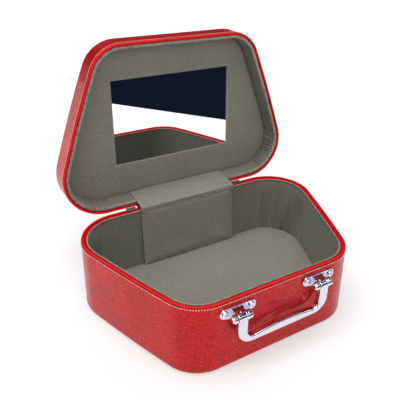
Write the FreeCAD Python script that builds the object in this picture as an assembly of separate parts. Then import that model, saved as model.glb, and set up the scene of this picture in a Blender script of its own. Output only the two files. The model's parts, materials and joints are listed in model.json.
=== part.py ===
import FreeCAD, Part
import math
import os
from FreeCAD import Vector

# Zip-round vanity case for jewellery, built as soft goods over greyboard: a deep base, a shallow
# lid on a fabric hinge, a zip that runs round three sides and a hinged metal carrying handle.
#
# Frame: X to the right, Y from the handle face to the hinge face, Z up. The origin is the middle
# of the underside. Insets are measured inwards from the outer face of the base wall.
# The lid is drawn shut, then stood open by OPEN_ANGLE about the hinge line. Millimetres.

# ---- overall sizes ----
CASE_WIDTH = 267.0  # widest, near the hinge
CASE_DEPTH = 180.0  # handle face to hinge face
FRONT_FLAT = 122.0  # straight run of the handle face
BASE_HEIGHT = 75.5  # floor to the parting plane of the zip
LID_HEIGHT = 29.5  # parting plane to the top of the lid
OPEN_ANGLE = 91.5  # where the fabric hinge holds the lid

# ---- outline in plan ----
BACK_RADIUS = 45.0
FRONT_RADIUS = 39.0
SIDE_BOW_RADIUS = 1600.0  # the sides are very slightly bowed
LID_BACK_RADIUS = 44.0
LID_FRONT_RADIUS = 36.5
LID_INSET = 0.6  # the lid is this much smaller than the base all round

# ---- wall build-up, outside to inside ----
COVER = 1.0  # leather-look cover
BOARD = 2.4  # greyboard wall
LINING = 2.8  # suede over thin foam
BOTTOM_BOARD = 2.4
FLOOR_PAD = 2.2
TOP_BOARD = 2.0
TOP_PAD = 1.0  # foam under the lid's top cover
PANEL = 1.2  # suede-covered card round the mirror
MIRROR = 1.5
BOTTOM_EDGE_RADIUS = 5.0
TOP_EDGE_RADIUS = 3.2
TURN_UNDER = 13.0  # how far the side cover turns under the base or over the lid
SEAM_DROP = 2.8  # cover edge to parting plane
BOARD_DROP = 3.0
LINING_DROP = 2.2
LIP_RADIUS = 1.1  # rolled top edge of the lining

# ---- zip ----
COIL_RADIUS = 0.8
COIL_INSET = 1.3
TAPE = 0.8
TAPE_DEPTH = 8.5  # parting plane to the tape's sewn-in edge
STOP_LENGTH = 2.0
STOP_HALF_WIDTH = 0.9
STOP_EDGE = 0.3
STOP_TO_STRIP = 0.7  # metal stop to the edge of the hinge strip
STOP_TO_TEETH = 0.2

# ---- hinge line, stay panel and hinge strip ----
HINGE_BEHIND = 0.7  # hinge line behind the hinge face
HINGE_BELOW = 3.2  # hinge line below the parting plane
STAY_WIDTH = 115.0
STAY_BOARD = 3.2
STAY_EDGE = 0.9
STAY_FLAP = 1.4
STAY_RISE = 1.0  # top of the stiff stay panel above the parting plane
STAY_LEAN = 4.0  # foot of the stay panel off the lining
STAY_GLUED = 12.0  # height of the stay panel's back that lies flat on the lining
STAY_FOLD = 0.9  # fold of the flap above the stay panel
STRIP = 0.9
STRIP_REACH = 13.0  # how far the strip runs down the base and up the lid
STRIP_FOLD = 2.2  # where it leaves the base, below the hinge line
STRIP_LID_FOLD = 1.2  # where it meets the lid, above the parting plane

# ---- mirror ----
MIRROR_WIDTH = 145.0
MIRROR_HEIGHT = 99.0
WINDOW_WIDTH = 139.5
WINDOW_HEIGHT = 94.0
MIRROR_Y = 0.0  # middle of the mirror with the lid shut

# ---- handle and brackets ----
HANDLE_SPAN = 88.5  # between the middles of the two legs
LEG_WIDTH = 9.5
HANDLE_THICK = 6.0
HANDLE_DROP = 28.3  # pivot to the lower edge of the grip
GRIP_HEIGHT = 5.2  # at its ends
GRIP_ARCH = 2.8  # extra height in the middle
HANDLE_CORNER = 15.0
HANDLE_INNER_CORNER = 7.0
HANDLE_EDGE = 1.2
PIVOT_BELOW = 15.8  # pivot below the parting plane
PIVOT_STAND_OFF = 8.0  # pivot in front of the handle face
PIN_RADIUS = 1.5
PIN_HEAD_RADIUS = 2.6
PIN_HEAD = 1.1
PIN_HEAD_DOME = 0.9
PIN_CLEARANCE = 0.06  # running fit, radial
KNUCKLE_RADIUS = 3.5
KNUCKLE_WIDTH = 4.2
KNUCKLE_GAP = 0.35
COLLAR_RISE = 0.45  # turned collars at both ends of the handle's eyes
COLLAR_WIDTH = 1.7
KNUCKLE_EDGE = 0.6
BRACKET_PLATE = 1.6
BRACKET_EDGE = 0.5
BRACKET_BAR = 2.2  # bar of the plate above its window
SCREW_SPACING = 26.8
SCREW_ABOVE_PIVOT = 3.0
EAR_RADIUS = 4.8
SCREW_RADIUS = 1.5
SCREW_HEAD_RADIUS = 3.3
SCREW_HEAD = 1.7
SCREW_CLEARANCE = 0.15
RECESS_ARM = 1.9  # cross recess in the screw heads
RECESS_SLOT = 0.35
RECESS_DEPTH = 0.8
BACKING_PLATE = 0.8
NUT_SKIN = 0.6  # lining left over the nuts
BACKING_MARGIN = 0.4  # plate beyond the nuts, above and below
NUT_RADIUS = 2.9
POCKET_CLEARANCE = 0.15

# ---- sliders and pull tabs ----
SLIDER_LENGTH = 11.0
SLIDER_GAP = 0.7  # parked slider to the first tooth
SLIDER_PLATE = 1.0
SLIDER_DROP = 8.0  # plate below the parting plane
SLIDER_CLEARANCE = 0.35
SLIDER_CORNER = 1.8
SLIDER_FOOT = 0.8
FOOT_ABOVE_TAPE = 0.6
NECK_FILL = 0.45  # half thickness of the neck, as a share of the gap between teeth and parting plane
LUG_HALF_WIDTH = 0.8
LUG_RADIUS = 1.7
LUG_BELOW = 5.4  # pull pin below the parting plane
LUG_OUT = 2.3  # pull pin in front of the slider plate
PULL_PIN_RADIUS = 0.75
CHEEK = 1.5
CHEEK_GAP = 0.25
PULL_LENGTH = 24.0
PULL_WIDTH = 8.0
PULL_THICK = 1.2
PULL_HOLE_RADIUS = 1.6
PULL_HOLE_EDGE = 2.2
PULL_CORNER = 1.6

HALF_DEPTH = CASE_DEPTH / 2
PIVOT_Z = BASE_HEIGHT - PIVOT_BELOW
WALL = COVER + BOARD + LINING
NUT = LINING - BACKING_PLATE - NUT_SKIN
COIL_GAP = LINING_DROP - 2 * COIL_RADIUS  # the coil rests on the tape
NECK_HALF = NECK_FILL * COIL_GAP
HINGE_Y = HALF_DEPTH + HINGE_BEHIND
HINGE_Z = BASE_HEIGHT - HINGE_BELOW
STAY_HALF = STAY_WIDTH / 2
ZIP_START = STAY_HALF + STOP_TO_STRIP + STOP_LENGTH + STOP_TO_TEETH
SLIDER_START = ZIP_START + SLIDER_GAP + SLIDER_LENGTH / 2
FAR = 2 * CASE_WIDTH  # larger than any cut needs
TOUCH = 1e-4  # closer than this counts as touching
BASE_RADII = (BACK_RADIUS, FRONT_RADIUS)
LID_RADII = (LID_BACK_RADIUS, LID_FRONT_RADIUS)

os.makedirs("parts", exist_ok=True)


# ---- outline ----
def side_centre():
    """Middle of the right side's shallow arc, which touches both corner circles from inside."""
    back = Vector(CASE_WIDTH / 2 - BACK_RADIUS, HALF_DEPTH - BACK_RADIUS, 0)
    front = Vector(FRONT_FLAT / 2, FRONT_RADIUS - HALF_DEPTH, 0)
    to_back = SIDE_BOW_RADIUS - BACK_RADIUS
    to_front = SIDE_BOW_RADIUS - FRONT_RADIUS
    apart = back - front
    span = apart.Length
    along = (to_front**2 - to_back**2 + span**2) / (2 * span)
    across = math.sqrt(to_front**2 - along**2)
    unit = apart / span
    return front + unit * along + Vector(-unit.y, unit.x, 0) * across


SIDE_CENTRE = side_centre()


def corner_centre(y, radius):
    """Middle of a right-hand corner circle of this radius that touches the side's arc."""
    reach = SIDE_BOW_RADIUS - radius
    rise = y - SIDE_CENTRE.y
    return Vector(SIDE_CENTRE.x + math.sqrt(reach**2 - rise**2), y, 0)


def on_circle(centre, radius, angle):
    return centre + Vector(math.cos(angle), math.sin(angle), 0) * radius


def arc(centre, radius, start, end):
    middle = (start + end) / 2
    points = [on_circle(centre, radius, angle) for angle in (start, middle, end)]
    return Part.Arc(*points).toShape()


def mirrored_x(shape):
    return shape.mirror(Vector(0, 0, 0), Vector(1, 0, 0))


def outline(inset, z, radii=BASE_RADII):
    """Closed wire of the case's rounded trapezium, this far inside the outer face, at height z."""
    back_radius, front_radius = radii
    back = corner_centre(HALF_DEPTH - back_radius, back_radius)
    front = corner_centre(front_radius - HALF_DEPTH, front_radius)
    back_turn = math.atan2(back.y - SIDE_CENTRE.y, back.x - SIDE_CENTRE.x)
    front_turn = math.atan2(front.y - SIDE_CENTRE.y, front.x - SIDE_CENTRE.x)
    right = [
        arc(back, back_radius - inset, math.pi / 2, back_turn),
        arc(SIDE_CENTRE, SIDE_BOW_RADIUS - inset, back_turn, front_turn),
        arc(front, front_radius - inset, front_turn, -math.pi / 2),
    ]
    y_back = HALF_DEPTH - inset
    across_back = Part.makeLine(Vector(-back.x, y_back, 0), Vector(back.x, y_back, 0))
    across_front = Part.makeLine(Vector(front.x, -y_back, 0), Vector(-front.x, -y_back, 0))
    edges = [across_back, *right, across_front, *[mirrored_x(edge) for edge in right]]
    wire = Part.Wire(Part.__sortEdges__(edges))
    wire.translate(Vector(0, 0, z))
    return wire


# ---- solids from the outline ----
def plate(inset, bottom, top, radii=BASE_RADII):
    return Part.Face(outline(inset, bottom, radii)).extrude(Vector(0, 0, top - bottom))


def ring(outer, inner, bottom, top, radii=BASE_RADII):
    return plate(outer, bottom, top, radii).cut(plate(inner, bottom - 1, top + 1, radii))


def edge_middle(edge):
    return edge.valueAt((edge.FirstParameter + edge.LastParameter) / 2)


def edges_at(solid, z):
    """The edges that lie wholly at height z."""
    level = []
    for edge in solid.Edges:
        heights = [vertex.Z for vertex in edge.Vertexes] + [edge_middle(edge).z]
        if max(abs(height - z) for height in heights) < TOUCH:
            level.append(edge)
    return level


def edges_on(solid, wire):
    """The edges of a solid that run along a wire."""
    return [e for e in solid.Edges if wire.distToShape(Part.Vertex(edge_middle(e)))[0] < TOUCH]


def rounded_plate(inset, bottom, top, radius, round_z, radii=BASE_RADII):
    """A plate with the edge at height round_z rounded."""
    solid = plate(inset, bottom, top, radii)
    return solid.makeFillet(radius, edges_at(solid, round_z))


def box(low, high):
    size = Vector(*high) - Vector(*low)
    return Part.makeBox(size.x, size.y, size.z, Vector(*low))


def cylinder_x(x_low, x_high, y, z, radius):
    return Part.makeCylinder(radius, x_high - x_low, Vector(x_low, y, z), Vector(1, 0, 0))


def cylinder_y(y_low, y_high, x, z, radius):
    return Part.makeCylinder(radius, y_high - y_low, Vector(x, y_low, z), Vector(0, 1, 0))


def joined(first, *others):
    """One solid made of several that meet."""
    return first.multiFuse(list(others)).removeSplitter()


def group(solids):
    """Separate solids that share a node."""
    return Part.makeCompound(solids)


def hinge_gap(solid, half_width):
    """Cut away the straight back run where the fabric hinge takes over from the zip."""
    low = (-half_width, HALF_DEPTH - 2 * WALL, -FAR)
    high = (half_width, HALF_DEPTH + WALL, FAR)
    return solid.cut(box(low, high))


def flipped(shape):
    """Turn a rim piece of the base upside down about the parting plane, for the lid."""
    return shape.mirror(Vector(0, 0, BASE_HEIGHT), Vector(0, 0, 1))


def opened(shape):
    """Swing a piece of the shut lid to where it stands open."""
    turned = shape.copy()
    turned.rotate(Vector(0, HINGE_Y, HINGE_Z), Vector(1, 0, 0), -OPEN_ANGLE)
    return turned


def save(name, shape):
    shape.exportStep(os.path.join("parts", name + ".step"))


# ---- zip rims, drawn for the base ----
def zip_tape(inset, radii):
    top = BASE_HEIGHT - LINING_DROP
    behind = inset + COVER + BOARD
    flat = ring(inset + COVER, behind + TAPE, top - TAPE, top, radii)
    hem = ring(behind, behind + TAPE, BASE_HEIGHT - TAPE_DEPTH, top, radii)
    return hinge_gap(joined(flat, hem), STAY_HALF)


def zip_coil(inset, radii):
    height = BASE_HEIGHT - COIL_GAP - COIL_RADIUS
    path = outline(inset + COIL_INSET, height, radii)
    y = HALF_DEPTH - inset - COIL_INSET
    section = Part.Wire(Part.makeCircle(COIL_RADIUS, Vector(0, y, height), Vector(1, 0, 0)))
    tube = path.makePipeShell([section], True, False)
    return hinge_gap(tube, ZIP_START)


def zip_stops(inset):
    """A crimped metal stop at each end of a row of teeth."""
    y = HALF_DEPTH - inset - COIL_INSET
    x = STAY_HALF + STOP_TO_STRIP
    low = (x, y - STOP_HALF_WIDTH, BASE_HEIGHT - LINING_DROP)
    high = (x + STOP_LENGTH, y + STOP_HALF_WIDTH, BASE_HEIGHT - COIL_GAP)
    stop = box(low, high)
    stop = stop.makeFillet(STOP_EDGE, edges_at(stop, BASE_HEIGHT - COIL_GAP))
    return group([stop, mirrored_x(stop)])


def side_lining(inset, bottom, radii):
    """Suede lining of a wall, stepped round the tape's hem, with a rolled edge."""
    behind = inset + COVER + BOARD
    hem_edge = BASE_HEIGHT - TAPE_DEPTH
    top = BASE_HEIGHT - LINING_DROP
    upper = ring(behind + TAPE, inset + WALL, hem_edge, top, radii)
    upper = upper.makeFillet(LIP_RADIUS, edges_on(upper, outline(inset + WALL, top, radii)))
    return joined(upper, ring(behind, inset + WALL, bottom, hem_edge, radii))


# ---- base ----
SCREW_XS = [
    side * HANDLE_SPAN / 2 + step * SCREW_SPACING / 2 for side in (-1, 1) for step in (-1, 1)
]
SCREW_Z = PIVOT_Z + SCREW_ABOVE_PIVOT
FACE_Y = -HALF_DEPTH
FLOOR_TOP = COVER + BOTTOM_BOARD + FLOOR_PAD


def screw_holes(solid):
    radius = SCREW_RADIUS + SCREW_CLEARANCE
    for x in SCREW_XS:
        solid = solid.cut(cylinder_y(FACE_Y - WALL, FACE_Y + WALL - LINING, x, SCREW_Z, radius))
    return solid


def inside_cover(top):
    """The space inside the base's cover, up to this height."""
    return rounded_plate(COVER, COVER, top, BOTTOM_EDGE_RADIUS - COVER, COVER)


def base_side_cover():
    top = BASE_HEIGHT - SEAM_DROP
    outer = rounded_plate(0, 0, top, BOTTOM_EDGE_RADIUS, 0)
    return screw_holes(outer.cut(inside_cover(top + 1)).cut(plate(TURN_UNDER, -1, 2 * COVER)))


def base_side_board():
    top = BASE_HEIGHT - BOARD_DROP
    return screw_holes(inside_cover(top).cut(plate(COVER + BOARD, 0, top + 1)))


def base_bottom_board():
    top = BASE_HEIGHT - BOARD_DROP
    return inside_cover(top).common(plate(COVER + BOARD, 0, COVER + BOTTOM_BOARD))


def backing_plate(side, clearance=0.0):
    """Steel strip that spreads the load of one bracket's two screws inside the wall."""
    reach = SCREW_SPACING / 2 + NUT_RADIUS + clearance
    height = NUT_RADIUS + BACKING_MARGIN + clearance
    middle = side * HANDLE_SPAN / 2
    y = FACE_Y + COVER + BOARD
    low = (middle - reach, y, SCREW_Z - height)
    high = (middle + reach, y + BACKING_PLATE + clearance, SCREW_Z + height)
    return box(low, high)


def bracket_nuts(clearance=0.0):
    """Hexagon nuts on the four bracket screws."""
    nuts = []
    y = FACE_Y + COVER + BOARD + BACKING_PLATE
    for x in SCREW_XS:
        angles = [math.radians(60 * k) for k in range(7)]
        radius = NUT_RADIUS + clearance
        corners = []
        for angle in angles:
            corners.append(Vector(x + radius * math.cos(angle), y, SCREW_Z + radius * math.sin(angle)))
        face = Part.Face(Part.makePolygon(corners))
        nuts.append(face.extrude(Vector(0, NUT + clearance, 0)))
    return nuts


def base_side_lining():
    lining = side_lining(0, COVER + BOTTOM_BOARD, BASE_RADII)
    for side in (-1, 1):
        lining = lining.cut(backing_plate(side, POCKET_CLEARANCE))
    for pocket in bracket_nuts(POCKET_CLEARANCE):
        lining = lining.cut(pocket)
    return lining


def lid_point(inset, above):
    """Y and Z, lid open, of a point of the shut lid on its hinge wall."""
    turn = math.radians(OPEN_ANGLE)
    dy = HALF_DEPTH - inset - HINGE_Y
    dz = BASE_HEIGHT + above - HINGE_Z
    y = HINGE_Y + dy * math.cos(turn) + dz * math.sin(turn)
    z = HINGE_Z - dy * math.sin(turn) + dz * math.cos(turn)
    return y, z


def strap(points, half_width):
    """A flat strap of this section in Y and Z."""
    corners = [Vector(-half_width, y, z) for y, z in points]
    face = Part.Face(Part.makePolygon(corners + [corners[0]]))
    return face.extrude(Vector(2 * half_width, 0, 0))


def stay_panel():
    """Stiff suede-covered board inside the hinge wall: glued at its top, its foot off the lining."""
    back = HALF_DEPTH - WALL
    top = BASE_HEIGHT + STAY_RISE
    foot = back - STAY_LEAN
    points = [
        (foot - STAY_BOARD, FLOOR_TOP),
        (back - STAY_BOARD, top),
        (back, top),
        (back, BASE_HEIGHT - LINING_DROP - STAY_GLUED),
        (foot, FLOOR_TOP),
    ]
    panel = strap(points, STAY_HALF)
    front = [e for e in panel.Edges if e.BoundBox.YMax < back - STAY_BOARD + TOUCH]
    return panel.makeFillet(STAY_EDGE, [e for e in front if e.BoundBox.ZMax > FLOOR_TOP + TOUCH])


def stay_bridge():
    """Soft suede flap from the stay panel's top across to the lid, as it lies with the lid open."""
    inner = HALF_DEPTH - WALL
    top = BASE_HEIGHT + STAY_RISE
    wall_inset = LID_INSET + WALL
    points = [
        (inner - STAY_BOARD + STAY_EDGE, top),
        (inner - STAY_BOARD + STAY_EDGE, top + STAY_FOLD),
        lid_point(wall_inset + STAY_FLAP, LINING_DROP),
        lid_point(wall_inset, LINING_DROP),
        (inner, top),
    ]
    return strap(points, STAY_HALF)


def hinge_strip():
    """Leather-look strip outside the hinge, sewn to the base below and the lid above."""
    base_y = HALF_DEPTH
    base_low = BASE_HEIGHT - SEAM_DROP - STRIP_REACH
    points = [
        (base_y, base_low),
        (base_y, HINGE_Z - STRIP_FOLD),
        lid_point(LID_INSET, STRIP_LID_FOLD),
        lid_point(LID_INSET, SEAM_DROP + STRIP_REACH),
        lid_point(LID_INSET - STRIP, SEAM_DROP + STRIP_REACH),
        lid_point(LID_INSET - STRIP, STRIP_LID_FOLD),
        (base_y + STRIP, HINGE_Z - STRIP_FOLD - STRIP),
        (base_y + STRIP, base_low),
    ]
    return strap(points, STAY_HALF)


# ---- lid, drawn shut ----
LID_TOP = BASE_HEIGHT + LID_HEIGHT
LID_BOARD_TOP = LID_TOP - COVER - TOP_PAD
LID_BOARD_BOTTOM = LID_BOARD_TOP - TOP_BOARD
PANEL_BOTTOM = LID_BOARD_BOTTOM - MIRROR - PANEL


def lid_side_cover():
    """Side band of the lid, turned over the top edge to the stitched seam."""
    seam = BASE_HEIGHT + SEAM_DROP
    outer = rounded_plate(LID_INSET, seam, LID_TOP, TOP_EDGE_RADIUS, LID_TOP, LID_RADII)
    inner_top = LID_TOP - COVER
    inner_radius = TOP_EDGE_RADIUS - COVER
    inset = LID_INSET + COVER
    hollow = rounded_plate(inset, seam - 1, inner_top, inner_radius, inner_top, LID_RADII)
    opening = plate(LID_INSET + TOP_EDGE_RADIUS, inner_top - 1, LID_TOP + 1, LID_RADII)
    return outer.cut(hollow).cut(opening)


def lid_top_cover():
    return plate(LID_INSET + TOP_EDGE_RADIUS, LID_TOP - COVER, LID_TOP, LID_RADII)


def under_top_cover(bottom, top):
    """A layer of the rounded space under the lid's top cover, between two heights."""
    inset = LID_INSET + COVER
    under = LID_TOP - COVER
    radius = TOP_EDGE_RADIUS - COVER
    space = rounded_plate(inset, LID_BOARD_BOTTOM, under, radius, under, LID_RADII)
    return space.common(plate(0, bottom, top, LID_RADII))


def lid_top_pad():
    return under_top_cover(LID_BOARD_TOP, LID_TOP - COVER)


def lid_top_board():
    return under_top_cover(LID_BOARD_BOTTOM, LID_BOARD_TOP)


def lid_side_board():
    inset = LID_INSET + COVER
    bottom = BASE_HEIGHT + BOARD_DROP
    return ring(inset, inset + BOARD, bottom, LID_BOARD_BOTTOM, LID_RADII)


def lid_side_lining():
    return flipped(side_lining(LID_INSET, 2 * BASE_HEIGHT - LID_BOARD_BOTTOM, LID_RADII))


def upright_box(width, height, bottom, top):
    """A box over the mirror's middle, width along X and height along Y."""
    low = (-width / 2, MIRROR_Y - height / 2, bottom)
    high = (width / 2, MIRROR_Y + height / 2, top)
    return box(low, high)


def lid_inner_panel():
    whole = plate(LID_INSET + WALL, PANEL_BOTTOM, PANEL_BOTTOM + PANEL, LID_RADII)
    window = upright_box(WINDOW_WIDTH, WINDOW_HEIGHT, PANEL_BOTTOM - 1, PANEL_BOTTOM + PANEL + 1)
    return whole.cut(window)


def mirror_glass():
    return upright_box(MIRROR_WIDTH, MIRROR_HEIGHT, LID_BOARD_BOTTOM - MIRROR, LID_BOARD_BOTTOM)


def mirror_spacer():
    bottom = LID_BOARD_BOTTOM - MIRROR
    whole = plate(LID_INSET + WALL, bottom, LID_BOARD_BOTTOM, LID_RADII)
    return whole.cut(upright_box(MIRROR_WIDTH, MIRROR_HEIGHT, bottom - 1, LID_BOARD_BOTTOM + 1))


def stay_lid_flap():
    """The part of the suede flap that is glued up the lid's hinge wall."""
    back = HALF_DEPTH - LID_INSET - WALL
    low = (-STAY_HALF, back - STAY_FLAP, BASE_HEIGHT + LINING_DROP)
    high = (STAY_HALF, back, PANEL_BOTTOM)
    return box(low, high)


# ---- handle and brackets ----
PIVOT_Y = FACE_Y - PIVOT_STAND_OFF


def profile_solid(edges, y_low, y_high):
    """Extrude a closed outline drawn at y_low towards y_high."""
    face = Part.Face(Part.Wire(Part.__sortEdges__(edges)))
    return face.extrude(Vector(0, y_high - y_low, 0))


def rims_of(turned, *places):
    """The round rims of a turned piece at these places along X."""
    rims = []
    for edge in turned.Edges:
        middle = edge_middle(edge)
        if edge.BoundBox.XLength < TOUCH and any(abs(middle.x - x) < TOUCH for x in places):
            rims.append(edge)
    return rims


def handle():
    """Carrying handle: two flat legs and a grip whose inner edge arches up, cast in one piece."""
    y_low = PIVOT_Y - HANDLE_THICK / 2
    y_high = PIVOT_Y + HANDLE_THICK / 2
    outer_x = (HANDLE_SPAN + LEG_WIDTH) / 2
    inner_x = (HANDLE_SPAN - LEG_WIDTH) / 2
    low = PIVOT_Z - HANDLE_DROP
    bend_x = outer_x - HANDLE_CORNER

    def at(x, z):
        return Vector(x, y_low, z)

    # The arch is one large circle. A small circle in each inner corner touches it and the leg.
    corner_x = inner_x - HANDLE_INNER_CORNER
    arch_radius = (corner_x**2 + GRIP_ARCH**2) / (2 * GRIP_ARCH)
    arch_z = low + GRIP_HEIGHT + GRIP_ARCH - arch_radius
    reach = arch_radius + HANDLE_INNER_CORNER
    corner_z = arch_z + math.sqrt(reach**2 - corner_x**2)
    touch = math.atan2(corner_z - arch_z, corner_x)
    touch_x = arch_radius * math.cos(touch)
    touch_z = arch_z + arch_radius * math.sin(touch)
    middle = (touch - math.pi) / 2
    inner_mid_x = corner_x + HANDLE_INNER_CORNER * math.cos(middle)
    inner_mid_z = corner_z + HANDLE_INNER_CORNER * math.sin(middle)
    outer_mid_x = bend_x + HANDLE_CORNER * math.sqrt(0.5)
    outer_mid_z = low + HANDLE_CORNER * (1 - math.sqrt(0.5))
    top = PIVOT_Z

    edges = [
        Part.Arc(at(-touch_x, touch_z), at(0, arch_z + arch_radius), at(touch_x, touch_z)).toShape(),
        Part.makeLine(at(-bend_x, low), at(bend_x, low)),
    ]
    for side in (-1, 1):
        inner_arc = (
            at(side * touch_x, touch_z),
            at(side * inner_mid_x, inner_mid_z),
            at(side * inner_x, corner_z),
        )
        outer_arc = (
            at(side * bend_x, low),
            at(side * outer_mid_x, outer_mid_z),
            at(side * outer_x, low + HANDLE_CORNER),
        )
        edges.append(Part.Arc(*inner_arc).toShape())
        edges.append(Part.Arc(*outer_arc).toShape())
        edges.append(Part.makeLine(at(side * inner_x, corner_z), at(side * inner_x, top)))
        edges.append(Part.makeLine(outer_arc[2], at(side * outer_x, top)))
        edges.append(Part.makeLine(at(side * inner_x, top), at(side * outer_x, top)))
    body = profile_solid(edges, y_low, y_high)
    rims = [e for e in body.Edges if e.BoundBox.YLength < TOUCH and e.BoundBox.ZMin < top - TOUCH]
    body = body.makeFillet(HANDLE_EDGE, rims)
    eyes = []
    holes = []
    collar_radius = KNUCKLE_RADIUS + COLLAR_RISE
    for side in (-1, 1):
        x = side * HANDLE_SPAN / 2 - LEG_WIDTH / 2
        far = x + LEG_WIDTH
        eyes.append(cylinder_x(x, far, PIVOT_Y, PIVOT_Z, KNUCKLE_RADIUS))
        for start in (x, far - COLLAR_WIDTH):
            collar = cylinder_x(start, start + COLLAR_WIDTH, PIVOT_Y, PIVOT_Z, collar_radius)
            eyes.append(collar.makeFillet(COLLAR_RISE, rims_of(collar, start)))
        hole_radius = PIN_RADIUS + PIN_CLEARANCE
        holes.append(cylinder_x(x - 1, x + LEG_WIDTH + 1, PIVOT_Y, PIVOT_Z, hole_radius))
    return joined(body, *eyes).cut(holes[0]).cut(holes[1])


def bracket(side):
    """Bracket with two screw ears and two knuckles that hold one leg of the handle."""
    middle = side * HANDLE_SPAN / 2
    ear = SCREW_SPACING / 2
    knuckle = LEG_WIDTH / 2 + KNUCKLE_GAP
    outer = knuckle + KNUCKLE_WIDTH
    y = FACE_Y - BRACKET_PLATE
    top = SCREW_Z + EAR_RADIUS
    foot = PIVOT_Z - KNUCKLE_RADIUS

    def at(x, z):
        return Vector(middle + x, y, z)

    # Each lower flank leaves the ear's circle at a tangent and runs in to the knuckle's foot.
    flank = math.hypot(ear - outer, SCREW_Z - foot)
    touch = math.atan2(foot - SCREW_Z, outer - ear) + math.acos(EAR_RADIUS / flank)
    touch_x = ear + EAR_RADIUS * math.cos(touch)
    touch_z = SCREW_Z + EAR_RADIUS * math.sin(touch)
    edges = [
        Part.makeLine(at(-ear, top), at(ear, top)),
        Part.makeLine(at(-outer, foot), at(outer, foot)),
    ]
    for turn in (-1, 1):
        tip = at(turn * (ear + EAR_RADIUS), SCREW_Z)
        edges.append(Part.Arc(at(turn * ear, top), tip, at(turn * touch_x, touch_z)).toShape())
        edges.append(Part.makeLine(at(turn * touch_x, touch_z), at(turn * outer, foot)))
    shape = profile_solid(edges, y, FACE_Y)
    rim = [e for e in shape.Edges if e.BoundBox.YMax < y + TOUCH]
    shape = shape.makeFillet(BRACKET_EDGE, rim)
    window_low = (middle - knuckle, FACE_Y - 2 * BRACKET_PLATE, PIVOT_Z)
    window_high = (middle + knuckle, FACE_Y + 1, top - BRACKET_BAR)
    shape = shape.cut(box(window_low, window_high))
    for turn in (-1, 1):
        x = middle + turn * (knuckle + KNUCKLE_WIDTH / 2) - KNUCKLE_WIDTH / 2
        barrel = cylinder_x(x, x + KNUCKLE_WIDTH, PIVOT_Y, PIVOT_Z, KNUCKLE_RADIUS)
        barrel = barrel.makeFillet(KNUCKLE_EDGE, rims_of(barrel, x, x + KNUCKLE_WIDTH))
        low = (x, PIVOT_Y, foot)
        high = (x + KNUCKLE_WIDTH, FACE_Y, PIVOT_Z + KNUCKLE_RADIUS)
        shape = joined(shape, barrel, box(low, high))
    shape = shape.cut(cylinder_x(middle - outer - 1, middle + outer + 1, PIVOT_Y, PIVOT_Z, PIN_RADIUS))
    for turn in (-1, 1):
        x = middle + turn * ear
        drill = SCREW_RADIUS + SCREW_CLEARANCE
        shape = shape.cut(cylinder_y(y - 1, FACE_Y + 1, x, SCREW_Z, drill))
    return shape


def pivot_pin(side):
    """Riveted pin with a domed head at both ends."""
    middle = side * HANDLE_SPAN / 2
    outer = LEG_WIDTH / 2 + KNUCKLE_GAP + KNUCKLE_WIDTH
    shank = cylinder_x(middle - outer, middle + outer, PIVOT_Y, PIVOT_Z, PIN_RADIUS)
    pieces = []
    reach = outer + PIN_HEAD
    for near, far in ((middle - outer, middle - reach), (middle + outer, middle + reach)):
        head = cylinder_x(min(near, far), max(near, far), PIVOT_Y, PIVOT_Z, PIN_HEAD_RADIUS)
        pieces.append(head.makeFillet(PIN_HEAD_DOME, rims_of(head, far)))
    return joined(shank, *pieces)


def bracket_screws():
    """Pan-head screws with a cross recess, through bracket, cover and board into the nuts."""
    screws = []
    seat = FACE_Y - BRACKET_PLATE
    tip = FACE_Y + COVER + BOARD + BACKING_PLATE + NUT
    for x in SCREW_XS:
        shank = cylinder_y(seat, tip, x, SCREW_Z, SCREW_RADIUS)
        head = cylinder_y(seat - SCREW_HEAD, seat, x, SCREW_Z, SCREW_HEAD_RADIUS)
        crown = [e for e in head.Edges if e.BoundBox.YMax < seat - SCREW_HEAD + TOUCH]
        head = head.makeFillet(SCREW_HEAD / 2, crown)
        screw = joined(shank, head)
        front = seat - SCREW_HEAD
        for across, up in ((RECESS_ARM, RECESS_SLOT), (RECESS_SLOT, RECESS_ARM)):
            low = (x - across, front - 1, SCREW_Z - up)
            screw = screw.cut(box(low, (x + across, front + RECESS_DEPTH, SCREW_Z + up)))
        screws.append(screw)
    return group(screws)


def backing_plate_drilled(side):
    shape = backing_plate(side)
    for turn in (-1, 1):
        x = side * HANDLE_SPAN / 2 + turn * SCREW_SPACING / 2
        shape = shape.cut(cylinder_y(FACE_Y, FACE_Y + WALL, x, SCREW_Z, SCREW_RADIUS + SCREW_CLEARANCE))
    return shape


def drilled_nuts():
    """The nuts, threaded on to the screws at their full radius."""
    nuts = []
    for x, nut in zip(SCREW_XS, bracket_nuts()):
        nuts.append(nut.cut(cylinder_y(FACE_Y, FACE_Y + WALL, x, SCREW_Z, SCREW_RADIUS)))
    return group(nuts)


# ---- sliders and pulls, drawn for the right-hand side ----
PLATE_Y = HALF_DEPTH + SLIDER_CLEARANCE
PULL_PIN_Y = PLATE_Y + SLIDER_PLATE + LUG_OUT
PULL_PIN_Z = BASE_HEIGHT - LUG_BELOW


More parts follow.
